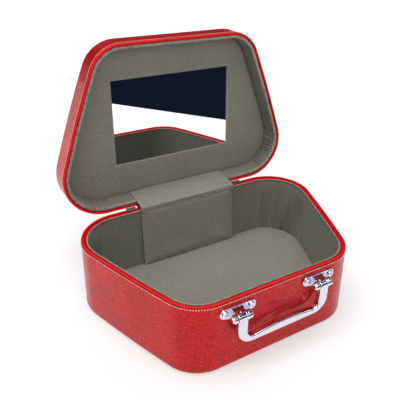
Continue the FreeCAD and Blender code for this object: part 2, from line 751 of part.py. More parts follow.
def slider():
    """Slider: an outer plate with a lug for the pull, a neck over the teeth and an inner foot."""
    x = SLIDER_START
    half = SLIDER_LENGTH / 2
    top = BASE_HEIGHT + NECK_HALF
    plate_middle = PLATE_Y + SLIDER_PLATE / 2
    low = (x - half, PLATE_Y, BASE_HEIGHT - SLIDER_DROP)
    outer = box(low, (x + half, PLATE_Y + SLIDER_PLATE, top))
    corners = [e for e in outer.Edges if e.BoundBox.YLength > SLIDER_PLATE / 2]
    outer = outer.makeFillet(SLIDER_CORNER, [e for e in corners if e.BoundBox.ZMax < BASE_HEIGHT])
    foot_y = HALF_DEPTH - COIL_INSET - COIL_RADIUS - SLIDER_CLEARANCE - SLIDER_FOOT
    neck = box((x - half / 2, foot_y, BASE_HEIGHT - NECK_HALF), (x + half, plate_middle, top))
    foot_low = BASE_HEIGHT - LINING_DROP + FOOT_ABOVE_TAPE
    foot = box((x - half, foot_y, foot_low), (x + half, foot_y + SLIDER_FOOT, top))
    low = (x - LUG_HALF_WIDTH, plate_middle, PULL_PIN_Z - LUG_RADIUS)
    web = box(low, (x + LUG_HALF_WIDTH, PULL_PIN_Y, PULL_PIN_Z + LUG_RADIUS))
    eye = cylinder_x(x - LUG_HALF_WIDTH, x + LUG_HALF_WIDTH, PULL_PIN_Y, PULL_PIN_Z, LUG_RADIUS)
    bore_radius = PULL_PIN_RADIUS + PIN_CLEARANCE
    bore = cylinder_x(x - half, x + half, PULL_PIN_Y, PULL_PIN_Z, bore_radius)
    return joined(outer, neck, foot, web, eye).cut(bore)


def pull_tab():
    """Pull tab: two cheeks and their pin through the slider's lug, and a flat tab hanging down."""
    x = SLIDER_START
    inner = LUG_HALF_WIDTH + CHEEK_GAP
    outer = inner + CHEEK
    y_low = PULL_PIN_Y - PULL_THICK / 2
    y_high = PULL_PIN_Y + PULL_THICK / 2
    tab_top = PULL_PIN_Z - LUG_RADIUS - CHEEK_GAP
    tab_low = PULL_PIN_Z - PULL_LENGTH
    pieces = [cylinder_x(x - outer, x + outer, PULL_PIN_Y, PULL_PIN_Z, PULL_PIN_RADIUS)]
    for low_x, high_x in ((x - outer, x - inner), (x + inner, x + outer)):
        pieces.append(cylinder_x(low_x, high_x, PULL_PIN_Y, PULL_PIN_Z, LUG_RADIUS))
        pieces.append(box((low_x, y_low, tab_top - CHEEK), (high_x, y_high, PULL_PIN_Z)))
    tab = box((x - PULL_WIDTH / 2, y_low, tab_low), (x + PULL_WIDTH / 2, y_high, tab_top))
    corners = [e for e in tab.Edges if e.BoundBox.YLength > PULL_THICK / 2]
    tab = tab.makeFillet(PULL_CORNER, corners)
    hole_z = tab_low + PULL_HOLE_RADIUS + PULL_HOLE_EDGE
    hole = cylinder_y(y_low - 1, y_high + 1, x, hole_z, PULL_HOLE_RADIUS)
    return joined(tab.cut(hole), *pieces)


# ---- base body ----
save("base_side_cover", base_side_cover())
save("base_bottom_cover", plate(TURN_UNDER, 0, COVER))
save("base_side_board", base_side_board())
save("base_bottom_board", base_bottom_board())
save("base_side_lining", base_side_lining())
save("base_floor_pad", plate(WALL, COVER + BOTTOM_BOARD, FLOOR_TOP))
save("base_zip_tape", zip_tape(0, BASE_RADII))
save("base_zip_coil", zip_coil(0, BASE_RADII))
save("base_zip_stops", zip_stops(0))
save("stay_panel", stay_panel())
save("stay_bridge", stay_bridge())
save("hinge_strip", hinge_strip())
save("bracket_screws", bracket_screws())
save("bracket_nuts", drilled_nuts())
for side, name in ((-1, "left"), (1, "right")):
    save(name + "_handle_bracket", bracket(side))
    save(name + "_backing_plate", backing_plate_drilled(side))
    save(name + "_pivot_pin", pivot_pin(side))

# ---- handle ----
save("carrying_handle", handle())

# ---- sliders and pulls ----
save("right_zip_slider", slider())
save("right_pull_tab", pull_tab())
save("left_zip_slider", mirrored_x(slider()))
save("left_pull_tab", mirrored_x(pull_tab()))

# ---- lid body ----
save("lid_side_cover", opened(lid_side_cover()))
save("lid_top_cover", opened(lid_top_cover()))
save("lid_top_pad", opened(lid_top_pad()))
save("lid_side_board", opened(lid_side_board()))
save("lid_top_board", opened(lid_top_board()))
save("lid_side_lining", opened(lid_side_lining()))
save("lid_inner_panel", opened(lid_inner_panel()))
save("mirror_glass", opened(mirror_glass()))
save("mirror_spacer", opened(mirror_spacer()))
save("lid_zip_tape", opened(flipped(zip_tape(LID_INSET, LID_RADII))))
save("lid_zip_coil", opened(flipped(zip_coil(LID_INSET, LID_RADII))))
save("lid_zip_stops", opened(flipped(zip_stops(LID_INSET))))
save("stay_lid_flap", opened(stay_lid_flap()))
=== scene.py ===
"""Looks for a zip-round vanity case: leather-look covers, ribbed zips, suede linings and a chrome handle.

Lengths are metres in the case's own frame: X to the right seen from the handle, Y from the handle
face to the hinge, Z up. Lid pieces are worked out with the lid shut and then swung open.
"""
import json
import logging
import math
from dataclasses import dataclass, field
from enum import Enum
from typing import Any, Optional, Sequence, Union

import bpy
import numpy as np
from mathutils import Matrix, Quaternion, Vector


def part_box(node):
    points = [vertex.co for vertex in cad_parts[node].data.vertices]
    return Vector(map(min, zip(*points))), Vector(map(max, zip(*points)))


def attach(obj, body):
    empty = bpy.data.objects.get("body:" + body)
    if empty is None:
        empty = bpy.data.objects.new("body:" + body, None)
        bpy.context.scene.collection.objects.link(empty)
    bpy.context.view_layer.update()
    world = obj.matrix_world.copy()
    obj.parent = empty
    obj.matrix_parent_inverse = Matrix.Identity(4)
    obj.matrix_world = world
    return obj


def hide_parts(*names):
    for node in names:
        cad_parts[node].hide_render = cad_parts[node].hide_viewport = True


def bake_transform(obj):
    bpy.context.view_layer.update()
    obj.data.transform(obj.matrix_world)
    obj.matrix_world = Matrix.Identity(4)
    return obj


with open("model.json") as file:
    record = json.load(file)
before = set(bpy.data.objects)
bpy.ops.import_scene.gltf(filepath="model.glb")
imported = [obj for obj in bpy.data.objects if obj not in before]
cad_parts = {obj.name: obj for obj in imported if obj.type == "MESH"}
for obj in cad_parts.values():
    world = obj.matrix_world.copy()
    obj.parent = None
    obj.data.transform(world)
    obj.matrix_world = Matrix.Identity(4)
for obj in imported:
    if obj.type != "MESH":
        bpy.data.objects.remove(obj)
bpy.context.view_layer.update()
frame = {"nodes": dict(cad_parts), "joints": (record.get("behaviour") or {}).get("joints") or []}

MM = 0.001
LOG = logging.getLogger("vanity_case")

Array = np.ndarray
Colour = tuple[float, float, float]


# ---------------------------------------------------------------- plain maths
def unit(vectors: Array) -> Array:
    """Vectors along the last axis, scaled to length one."""
    return vectors / np.maximum(np.linalg.norm(vectors, axis=-1, keepdims=True), 1e-12)


def ease(x: Array, low: float, high: float) -> Array:
    """0 below low, 1 above high, and 3t^2 - 2t^3 between them."""
    t = np.clip((x - low) / (high - low), 0.0, 1.0)
    return t * t * (3.0 - 2.0 * t)


def bell(x: Array, middle: float, width: float) -> Array:
    """exp(-((x - middle) / width)^2)."""
    return np.exp(-(((x - middle) / width) ** 2))


def ripple(points: Array, wavelength: float, seed: int, waves: int = 22) -> Array:
    """A smooth random height of about unit size at each point.

    It is the sum of sine waves of nearly one wavelength, each with a direction and phase of its own.

    Args:
        points: places, with X, Y and Z on the last axis.
        wavelength: usual distance between crests, in metres.
        seed: start of the random draws.
        waves: how many sine waves are added.

    Returns:
        One height per point.
    """
    draws = np.random.default_rng(seed)
    directions = unit(draws.normal(size=(waves, 3)))
    lengths = wavelength * draws.uniform(0.75, 1.6, waves)
    phases = draws.uniform(0.0, 2.0 * math.pi, waves)
    total = np.zeros(points.shape[:-1])
    for direction, length, phase in zip(directions, lengths, phases):
        total += np.sin(2.0 * math.pi * (points @ direction) / length + phase)
    return total * math.sqrt(2.0 / waves)


# ---------------------------------------------------------------- meshes
def signed_volume(points: Array, quads: Array) -> float:
    """Sum of a . (b x c) / 6 over the two triangles of each quad; negative for an inside-out shell."""
    a, b, c, d = (points[quads[:, k]] for k in range(4))
    return float((a * (np.cross(b, c) + np.cross(c, d))).sum() / 6.0)


def mesh_object(name: str, points: Array, quads: Array, uv: Optional[Array], caps: Sequence[Array] = ()):
    """Put a closed shell into a new object whose faces point outwards.

    Args:
        name: the piece's name.
        points: vertices, one row each.
        quads: four vertex numbers per face.
        uv: two numbers per face corner, or None.
        caps: vertex loops of end faces, wound like the quads.

    Returns:
        The linked object.
    """
    inside_out = signed_volume(points, quads) < 0.0
    order = slice(None, None, -1 if inside_out else 1)
    loops = [quads[:, order].ravel(), *[cap[order] for cap in caps]]
    totals = np.concatenate([np.full(len(quads), 4), [len(cap) for cap in caps]]).astype(np.int32)
    mesh = bpy.data.meshes.new(name)
    mesh.vertices.add(len(points))
    mesh.vertices.foreach_set("co", points.astype(np.float32).ravel())
    mesh.loops.add(int(totals.sum()))
    mesh.loops.foreach_set("vertex_index", np.concatenate(loops).astype(np.int32))
    mesh.polygons.add(len(totals))
    mesh.polygons.foreach_set("loop_start", np.concatenate([[0], np.cumsum(totals)[:-1]]).astype(np.int32))
    mesh.polygons.foreach_set("loop_total", totals)
    mesh.polygons.foreach_set("use_smooth", np.ones(len(totals), bool))
    mesh.update(calc_edges=True)
    if uv is not None:
        corners = np.zeros((int(totals.sum()), 2), np.float32)
        corners[: quads.size] = uv[:, order].reshape(-1, 2)
        mesh.uv_layers.new(name="along_and_across").data.foreach_set("uv", corners.ravel())
    mesh.validate()
    piece = bpy.data.objects.new(name, mesh)
    bpy.context.scene.collection.objects.link(piece)
    return piece


def grid_quads(stations: int, around: int, wrap: bool) -> Array:
    """Quads of a grid of points whose columns close on themselves, and whose rows close if wrap."""
    rows = np.arange(stations if wrap else stations - 1)[:, None]
    columns = np.arange(around)[None, :]
    next_row, next_column = (rows + 1) % stations, (columns + 1) % around
    corners = [rows * around + columns, next_row * around + columns]
    corners += [next_row * around + next_column, rows * around + next_column]
    return np.stack([c.ravel() for c in corners], axis=1)


def tube_object(name: str, grid: Array, along: Array, wrap: bool) -> bpy.types.Object:
    """A shell from a grid of points: closed sections carried along a path.

    The UV map holds metres along the path and metres round the section.

    Args:
        name: the piece's name.
        grid: stations x section points x 3.
        along: distance of each station along the path, with one more for the seam if wrap.
        wrap: whether the last station joins the first. If not, each end gets a cap.

    Returns:
        The linked object.
    """
    stations, around = grid.shape[:2]
    quads = grid_quads(stations, around, wrap)
    steps = np.linalg.norm(np.roll(grid[0], -1, axis=0) - grid[0], axis=1)
    across = np.concatenate([[0.0], np.cumsum(steps)])
    row = np.repeat(np.arange(stations if wrap else stations - 1), around)
    column = np.tile(np.arange(around), len(row) // around)
    u = np.stack([along[row], along[row + 1], along[row + 1], along[row]], axis=1)
    v = np.stack([across[column], across[column], across[column + 1], across[column + 1]], axis=1)
    caps = []
    if not wrap:
        first = np.arange(around)
        caps = [first, (first + (stations - 1) * around)[::-1]]
    return mesh_object(name, grid.reshape(-1, 3), quads, np.stack([u, v], axis=-1), caps)


def slab_object(name: str, upper: Array, lower: Array) -> bpy.types.Object:
    """A closed pad: two facing grids of the same shape and the strip that joins their edges."""
    rows, columns = upper.shape[:2]
    count = rows * columns
    number = np.arange(count).reshape(rows, columns)
    corners = [number[:-1, :-1], number[1:, :-1], number[1:, 1:], number[:-1, 1:]]
    top = np.stack([c.ravel() for c in corners], axis=1)
    rim = np.concatenate([number[:-1, 0], number[-1, :-1], number[:0:-1, -1], number[0, :0:-1]])
    onward = np.roll(rim, -1)
    strip = np.stack([onward, rim, rim + count, onward + count], axis=1)
    quads = np.concatenate([top, top[:, ::-1] + count, strip])
    points = np.concatenate([upper.reshape(-1, 3), lower.reshape(-1, 3)])
    flat = np.concatenate([upper.reshape(-1, 3)] * 2)
    return mesh_object(name, points, quads, flat[quads][..., :2])


def normals_of(grid: Array, wrap: bool) -> Array:
    """Outward unit normals of a tube grid: the cross product of its steps along and round."""
    if wrap:
        along = np.roll(grid, -1, axis=0) - np.roll(grid, 1, axis=0)
    else:
        along = np.gradient(grid, axis=0)
    turn = np.roll(grid, -1, axis=1) - np.roll(grid, 1, axis=1)
    normals = unit(np.cross(along, turn))
    flat, quads = grid.reshape(-1, 3), grid_quads(*grid.shape[:2], wrap)
    return normals if signed_volume(flat, quads) > 0.0 else -normals


def rounded_section(corners: Sequence[tuple], straight: float = 2.5 * MM, curved: float = 0.3 * MM) -> Array:
    """A closed outline in a plane, turned at each corner by the arc that touches both of its sides.

    Args:
        corners: (across, height, radius) of each corner in order, and if a fourth number follows,
            it is the spacing of points along the side that leaves the corner.
        straight: usual spacing of points along the sides.
        curved: spacing of points along the arcs.

    Returns:
        Points, one row each.
    """
    points = np.array([corner[:2] for corner in corners])
    radii = np.array([corner[2] for corner in corners])
    back, onward = unit(np.roll(points, 1, 0) - points), unit(np.roll(points, -1, 0) - points)
    half = np.arccos(np.clip((back * onward).sum(1), -1.0, 1.0)) / 2.0
    reach = radii / np.tan(half)
    starts, ends = points + back * reach[:, None], points + onward * reach[:, None]
    centres = points + unit(back + onward) * (radii / np.sin(half))[:, None]
    runs = []
    for k in range(len(points)):
        turn = math.pi - 2.0 * half[k]
        if radii[k] > 0.0 and turn > 1e-3:
            t = np.linspace(0.0, 1.0, max(3, math.ceil(radii[k] * turn / curved) + 1))[:, None]
            first, last = starts[k] - centres[k], ends[k] - centres[k]
            blended = np.sin((1 - t) * turn) * first + np.sin(t * turn) * last
            runs.append(centres[k] + blended / math.sin(turn))
        else:
            runs.append(points[k : k + 1])
        side = starts[(k + 1) % len(points)] - ends[k]
        spacing = corners[k][3] if len(corners[k]) > 3 else straight
        pieces = int(np.linalg.norm(side) / spacing)
        if pieces > 1:
            runs.append(ends[k] + np.linspace(0.0, 1.0, pieces + 1)[1:-1, None] * side)
    return np.concatenate(runs)


# ---------------------------------------------------------------- sizes and outline
@dataclass(frozen=True)
class CaseSizes:
    """Sizes that the base and the lid share. The first seven come from the frame."""

    width: float
    depth: float
    parting: float
    lid_top: float
    hinge_y: float
    hinge_z: float
    open_angle: float
    front_flat: float = 122.0 * MM
    bow_radius: float = 1600.0 * MM
    base_radii: tuple[float, float] = (45.0 * MM, 39.0 * MM)
    lid_radii: tuple[float, float] = (44.0 * MM, 36.5 * MM)
    lid_inset: float = 0.6 * MM
    cover: float = 1.0 * MM
    wall: float = 6.2 * MM
    seam_drop: float = 2.8 * MM

    @classmethod
    def from_frame(cls) -> "CaseSizes":
        """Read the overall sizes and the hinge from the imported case."""
        low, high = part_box("base_side_cover")
        hinge = next(joint for joint in frame["joints"] if joint["name"] == "lid_hinge")
        sizes = cls(
            width=high.x - low.x,
            depth=high.y - low.y,
            parting=high.z + cls.seam_drop,
            lid_top=0.0,
            hinge_y=hinge["pos_m"][1],
            hinge_z=hinge["pos_m"][2],
            open_angle=math.radians(hinge["range_deg"][1]),
        )
        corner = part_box("lid_top_cover")[1]
        outside = np.array([[0.0, corner.y, corner.z]])
        return cls(**{**sizes.__dict__, "lid_top": float(sizes.shut(outside)[0, 2])})

    def _turned(self, points: Array, angle: float) -> Array:
        """Points turned about the hinge line."""
        dy, dz = points[..., 1] - self.hinge_y, points[..., 2] - self.hinge_z
        cos, sin = math.cos(angle), math.sin(angle)
        y, z = self.hinge_y + dy * cos - dz * sin, self.hinge_z + dy * sin + dz * cos
        return np.stack([points[..., 0], y, z], axis=-1)

    def opened(self, points: Array) -> Array:
        """Points of the shut lid, swung to where the lid stands open."""
        return self._turned(points, -self.open_angle)

    def shut(self, points: Array) -> Array:
        """Points of the open lid, swung shut."""
        return self._turned(points, self.open_angle)


@dataclass(frozen=True)
class Path:
    """Stations along the case's outline, seen from above."""

    points: Array
    normals: Array
    along: Array
    closed: bool

    def swept(self, inset: Array, height: Array) -> Array:
        """Stations x section points: each lies inset inwards of its station, at its height."""
        inset = np.broadcast_to(inset, (len(self.points), np.shape(inset)[-1]))
        plan = self.points[:, None, :] - inset[..., None] * self.normals[:, None, :]
        return np.concatenate([plan, np.broadcast_to(height, inset.shape)[..., None]], axis=-1)


@dataclass(frozen=True)
class Outline:
    """A trapezium with round corners and slightly bowed sides, drawn from the middle of its hinge face."""

    width: float
    depth: float
    front_flat: float
    bow_radius: float
    radii: tuple[float, float]
    bow_corners: tuple[float, float] = (45.0 * MM, 39.0 * MM)  # radii that place the bow's two ends

    def _runs(self) -> list[tuple[Array, float, float, float]]:
        """Centre, radius, first and last normal angle of the right half's arcs, back to front."""
        back_radius, front_radius = self.radii
        drawn_back, drawn_front = self.bow_corners
        back = np.array([self.width / 2 - drawn_back, self.depth / 2 - drawn_back])
        front = np.array([self.front_flat / 2, drawn_front - self.depth / 2])
        to_back, to_front = self.bow_radius - drawn_back, self.bow_radius - drawn_front
        span = float(np.linalg.norm(back - front))
        level = (to_front**2 - to_back**2 + span**2) / (2.0 * span)
        along = (back - front) / span
        bow = front + along * level + np.array([-along[1], along[0]]) * math.sqrt(to_front**2 - level**2)
        corners = []
        back_y, front_y = self.depth / 2 - back_radius, front_radius - self.depth / 2
        for y, radius in ((back_y, back_radius), (front_y, front_radius)):
            x = bow[0] + math.sqrt((self.bow_radius - radius) ** 2 - (y - bow[1]) ** 2)
            corners.append(np.array([x, y]))
        turns = [math.atan2(*(corner - bow)[::-1]) for corner in corners]
        return [
            (corners[0], back_radius, math.pi / 2, turns[0]),
            (bow, self.bow_radius, turns[0], turns[1]),
            (corners[1], front_radius, turns[1], -math.pi / 2),
        ]

    def corner_distances(self) -> tuple[float, float, float]:
        """Distance along the outline to the middles of a back and a front corner, and all the way round."""
        runs = self._runs()
        lengths = [radius * (first - last) for _, radius, first, last in runs]
        back_flat, front_flat = runs[0][0][0], runs[2][0][0]
        back = back_flat + lengths[0] / 2
        front = back_flat + lengths[0] + lengths[1] + lengths[2] / 2
        return back, front, 2 * (back_flat + sum(lengths) + front_flat)

    def path(self, step: float, gap: float = 0.0) -> Path:
        """Even stations round the outline.

        The right half is a straight run, three arcs and a straight run; the left half mirrors it.

        Args:
            step: distance between stations.
            gap: half of the run left open at the middle of the hinge face, or 0 for a closed path.

        Returns:
            The path.
        """
        runs = self._runs()
        total = self.corner_distances()[2]
        count = int((total - 2 * gap) / step)
        along = np.linspace(gap, total - gap, count, endpoint=gap > 0.0)
        folded = np.minimum(along, total - along)
        start = runs[0][0][0]
        x = np.minimum(folded, start)
        points = np.stack([x, np.full(count, self.depth / 2)], axis=1)
        normals = np.tile([0.0, 1.0], (count, 1))
        for centre, radius, first, last in runs:
            here = folded >= start
            angle = first - (folded[here] - start) / radius
            normals[here] = np.stack([np.cos(angle), np.sin(angle)], axis=1)
            points[here] = centre + radius * normals[here]
            start += radius * (first - last)
        here = folded >= start
        normals[here] = (0.0, -1.0)
        front_x = runs[2][0][0] - (folded[here] - start)
        points[here] = np.stack([front_x, np.full(here.sum(), -self.depth / 2)], 1)
        side = np.where(along <= total / 2, 1.0, -1.0)[:, None] * np.array([1.0, 0.0]) + np.array([0.0, 1.0])
        lengths = np.append(along, total) if gap == 0.0 else along
        return Path(points * side, normals * side, lengths, gap == 0.0)

    def half_width(self, y: Array, inset: float) -> Array:
        """Half of the outline's width at each y, this far inside it."""
        path = self.path(0.4 * MM)
        right = (path.points[:, 0] > 0.0) & (np.abs(path.normals[:, 1]) < 0.9999)
        inner = path.points[right] - inset * path.normals[right]
        order = np.argsort(inner[:, 1])
        return np.interp(y, inner[order, 1], inner[order, 0])


# ---------------------------------------------------------------- shader maths
class Signal:
    """One output socket, with the arithmetic operators that add Math nodes."""

    def __init__(self, tree: "ShaderTree", socket: bpy.types.NodeSocket) -> None:
        """Wrap a socket of a tree."""
        self.tree = tree
        self.socket = socket

    def _with(self, operation: str, first: "Number", second: "Number") -> "Signal":
        """A Math node on two values."""
        return self.tree.node("ShaderNodeMath", {"operation": operation}, {0: first, 1: second})

    def __add__(self, other: "Number") -> "Signal":
        """self + other."""
        return self._with("ADD", self, other)

    def __sub__(self, other: "Number") -> "Signal":
        """self - other."""
        return self._with("SUBTRACT", self, other)

    def __rsub__(self, other: "Number") -> "Signal":
        """other - self."""
        return self._with("SUBTRACT", other, self)

    def __mul__(self, other: "Number") -> "Signal":
        """self * other."""
        return self._with("MULTIPLY", self, other)

    __radd__ = __add__
    __rmul__ = __mul__


Number = Union[Signal, float]


class ShaderTree:
    """The node tree of one material."""

    def __init__(self, name: str) -> None:
        """Start a material that holds a Principled shader and its output."""
        self.material = bpy.data.materials.new(name)
        self.material.use_nodes = True
        self.nodes = self.material.node_tree.nodes
        self.nodes.clear()
        self.shader = self.nodes.new("ShaderNodeBsdfPrincipled")
        output = self.nodes.new("ShaderNodeOutputMaterial")
        self.material.node_tree.links.new(self.shader.outputs[0], output.inputs[0])

    def set(self, node: bpy.types.Node, inputs: dict[Any, Any]) -> None:
        """Link or set the named sockets of a node."""
        for key, value in inputs.items():
            socket = node.inputs[key]
            if isinstance(value, Signal):
                self.material.node_tree.links.new(value.socket, socket)
            elif isinstance(value, tuple) and socket.type == "RGBA":
                socket.default_value = (*value, 1.0)
            else:
                socket.default_value = value

    def node(self, kind: str, settings: dict[str, Any], inputs: dict[Any, Any], output: Any = 0) -> Signal:
        """Add a node.

        Args:
            kind: the node's type.
            settings: properties of the node, set first.
            inputs: values or signals of its sockets.
            output: which output to return.

        Returns:
            That output.
        """
        made = self.nodes.new(kind)
        for key, value in settings.items():
            setattr(made, key, value)
        self.set(made, inputs)
        return Signal(self, made.outputs[output])

    def place(self) -> Signal:
        """Object coordinates."""
        return self.node("ShaderNodeTexCoord", {}, {}, "Object")

    def surface(self) -> Signal:
        """The piece's own UV map: metres along it and across it."""
        return self.node("ShaderNodeTexCoord", {}, {}, "UV")

    def stretched(self, vector: Signal, scale: Colour) -> Signal:
        """Coordinates multiplied axis by axis."""
        return self.node("ShaderNodeMapping", {}, {"Vector": vector, "Scale": Vector(scale)})

    def noise(self, vector: Signal, size: float, detail: float = 2.0) -> Signal:
        """Soft noise whose patches are about this large, in metres."""
        inputs = {"Vector": vector, "Scale": 1.0 / size, "Detail": detail}
        return self.node("ShaderNodeTexNoise", {}, inputs)

    def cells(self, vector: Signal, size: float, output: str = "Color") -> Signal:
        """Voronoi cells of this size: a random colour each, or the distance from their middles."""
        return self.node("ShaderNodeTexVoronoi", {}, {"Vector": vector, "Scale": 1.0 / size}, output)

    def channel(self, colour: Signal, which: int) -> Signal:
        """Red, green or blue of a colour."""
        return self.node("ShaderNodeSeparateColor", {}, {"Color": colour}, which)

    def step(self, value: Signal, low: float, high: float) -> Signal:
        """0 below low, 1 above high, smooth between."""
        settings = {"interpolation_type": "SMOOTHSTEP"}
        return self.node("ShaderNodeMapRange", settings, {"Value": value, "From Min": low, "From Max": high})

    def wave(self, vector: Signal, pitch: float, bend: float = 0.0) -> Signal:
        """Bands across the first axis, this far apart, bent by noise."""
        inputs = {"Vector": vector, "Scale": 2.0 * math.pi / (20.0 * pitch), "Distortion": bend}
        return self.node("ShaderNodeTexWave", {"bands_direction": "X"}, inputs, "Fac")

    def mix(self, share: Number, first: Any, second: Any) -> Signal:
        """A colour that goes from first to second as share goes from 0 to 1."""
        inputs = {0: share, 6: first, 7: second}
        return self.node("ShaderNodeMix", {"data_type": "RGBA"}, inputs, 2)

    def bump(self, height: Signal, depth: float, strength: float = 1.0) -> Signal:
        """A normal tilted by a height of up to depth metres."""
        inputs = {"Height": height, "Distance": depth, "Strength": strength}
        return self.node("ShaderNodeBump", {}, inputs)

    def tilted(self, random: Signal, amount: float) -> Signal:
        """The surface's normal, tilted by a random colour about its middle."""
        middle = (0.5, 0.5, 0.5)
        centred = self.node("ShaderNodeVectorMath", {"operation": "SUBTRACT"}, {0: random, 1: middle})
        leaning = self.node("ShaderNodeVectorMath", {"operation": "SCALE"}, {0: centred, "Scale": amount})
        upright = self.node("ShaderNodeNewGeometry", {}, {}, "Normal")
        total = self.node("ShaderNodeVectorMath", {"operation": "ADD"}, {0: upright, 1: leaning})
        return self.node("ShaderNodeVectorMath", {"operation": "NORMALIZE"}, {0: total})

    def shade(self, **inputs: Any) -> None:
        """Set the Principled shader's sockets, whose names use _ for a space."""
        self.set(self.shader, {key.replace("_", " "): value for key, value in inputs.items()})


# ---------------------------------------------------------------- finishes
@dataclass(frozen=True)
class GlitterLeather:
    """Leather-look cover: red film full of fine glitter under a thick clear coat."""

    name: str = "glitter_leather"
    flake: float = 0.5 * MM
    body: Colour = (0.58, 0.002, 0.003)
    deep: Colour = (0.24, 0.000, 0.001)
    spark: Colour = (0.95, 0.07, 0.06)
    shadow: Colour = (0.12, 0.000, 0.000)

    def paint(self, tree: ShaderTree) -> None:
        """Random flakes, each with its own shade and tilt, gathered in brighter and darker clumps."""
        place = tree.place()
        flakes = tree.cells(place, self.flake)
        clumps = tree.cells(place, 2.4 * self.flake)
        drift = tree.noise(place, 34.0 * MM, 3.0)
        lively = tree.channel(flakes, 0)
        colour = tree.mix(tree.step(drift, 0.3, 0.7) * 0.35, self.body, self.deep)
        colour = tree.mix(tree.step(tree.channel(clumps, 2), 0.45, 0.9) * 0.50, colour, self.deep)
        colour = tree.mix(tree.step(tree.channel(flakes, 1), 0.60, 0.80) * 0.55, colour, self.shadow)
        colour = tree.mix(tree.step(tree.channel(clumps, 1), 0.80, 0.95) * 0.20, colour, self.spark)
        colour = tree.mix(tree.step(lively, 0.80, 0.93) * 0.50, colour, self.spark)
        tree.shade(
            Base_Color=colour,
            Metallic=0.45 + tree.step(lively, 0.70, 0.95) * 0.45,
            Roughness=0.48 - 0.16 * lively,
            Normal=tree.tilted(flakes, 0.30),
            Specular_IOR_Level=0.12,
            Coat_Weight=0.42,
            Coat_Roughness=0.05,
            Coat_IOR=1.38,
        )


@dataclass(frozen=True)
class Suede:
    """Short-pile lining cloth: brushed patches, fine fibres and a soft edge sheen."""

    name: str
    light: Colour = (0.228, 0.222, 0.186)
    dark: Colour = (0.158, 0.155, 0.130)
    fibre: float = 1.3 * MM
    nap: float = 40.0 * MM

    def paint(self, tree: ShaderTree) -> None:
        """Brushed nap in large patches, with a fine tooth of fibres over it."""
        place = tree.place()
        brushed = tree.noise(place, self.nap, 4.0)
        fibres = tree.noise(place, self.fibre, 3.0)
        fuzz = tree.cells(place, 0.7 * self.fibre, "Distance")
        share = tree.step(brushed, 0.25, 0.75) * 0.22 + tree.step(fibres, 0.36, 0.64) * 0.78
        rough = tree.bump(fibres * 0.7 + fuzz * 0.5, 0.35 * MM, 0.7)
        tree.shade(
            Base_Color=tree.mix(share, self.dark, self.light),
            Roughness=0.97 - 0.08 * brushed,
            Normal=rough,
            Sheen_Weight=0.22,
            Sheen_Roughness=0.45,
            Sheen_Tint=(0.85, 0.84, 0.78),
            Specular_IOR_Level=0.15,
        )


@dataclass(frozen=True)
class WovenTape:
    """Zip tape: close ribs along its length crossed by a fine weft."""

    name: str = "woven_zip_tape"
    body: Colour = (0.52, 0.001, 0.003)
    dark: Colour = (0.24, 0.000, 0.001)
    rib: float = 0.55 * MM

    def paint(self, tree: ShaderTree) -> None:
        """Two sets of bands at right angles on the tape's own UV map."""
        surface = tree.surface()
        ribs = tree.wave(surface, self.rib, 0.6)
        quarter = Vector((0, 0, math.pi / 2))
        turned = tree.node("ShaderNodeMapping", {}, {"Vector": surface, "Rotation": quarter})
        weft = tree.wave(turned, 0.6 * self.rib, 0.6)
        woven = ribs * 0.6 + weft * 0.4
        worn = tree.noise(tree.place(), 9.0 * MM, 3.0)
        tree.shade(
            Base_Color=tree.mix(tree.step(woven, 0.0, 0.7) * 0.8 + worn * 0.2, self.dark, self.body),
            Roughness=0.78 - 0.15 * woven,
            Normal=tree.bump(woven, 0.12 * MM, 0.7),
            Specular_IOR_Level=0.1,
        )


@dataclass(frozen=True)
class MouldedNylon:
    """Zip teeth: smooth dyed nylon, paler where it is worn."""

    name: str = "zip_nylon"
    body: Colour = (0.60, 0.002, 0.004)
    worn: Colour = (0.64, 0.006, 0.008)

    def paint(self, tree: ShaderTree) -> None:
        """A worn tint that follows noise, over a half-gloss surface."""
        place = tree.place()
        patches = tree.noise(place, 6.0 * MM, 3.0)
        grain = tree.noise(place, 0.5 * MM, 2.0)
        tree.shade(
            Base_Color=tree.mix(tree.step(patches, 0.35, 0.75), self.body, self.worn),
            Roughness=0.34 + 0.14 * grain,
            Normal=tree.bump(grain, 0.05 * MM, 0.4),
            Specular_IOR_Level=0.15,
        )


@dataclass(frozen=True)
class Thread:
    """Twisted sewing thread."""

    name: str = "sewing_thread"
    light: Colour = (0.95, 0.52, 0.50)
    dark: Colour = (0.66, 0.16, 0.15)

    def paint(self, tree: ShaderTree) -> None:
        """Slanted strands on the stitch's own UV map."""
        surface = tree.surface()
        slanted = tree.node("ShaderNodeMapping", {}, {"Vector": surface, "Rotation": Vector((0, 0, 0.7))})
        strands = tree.wave(slanted, 0.3 * MM, 0.3)
        fuzz = tree.noise(tree.place(), 0.6 * MM, 2.0)
        tree.shade(
            Base_Color=tree.mix(strands * 0.7 + fuzz * 0.3, self.dark, self.light),
            Roughness=0.6 - 0.1 * strands,
            Normal=tree.bump(strands, 0.05 * MM, 0.6),
            Sheen_Weight=0.2,
        )


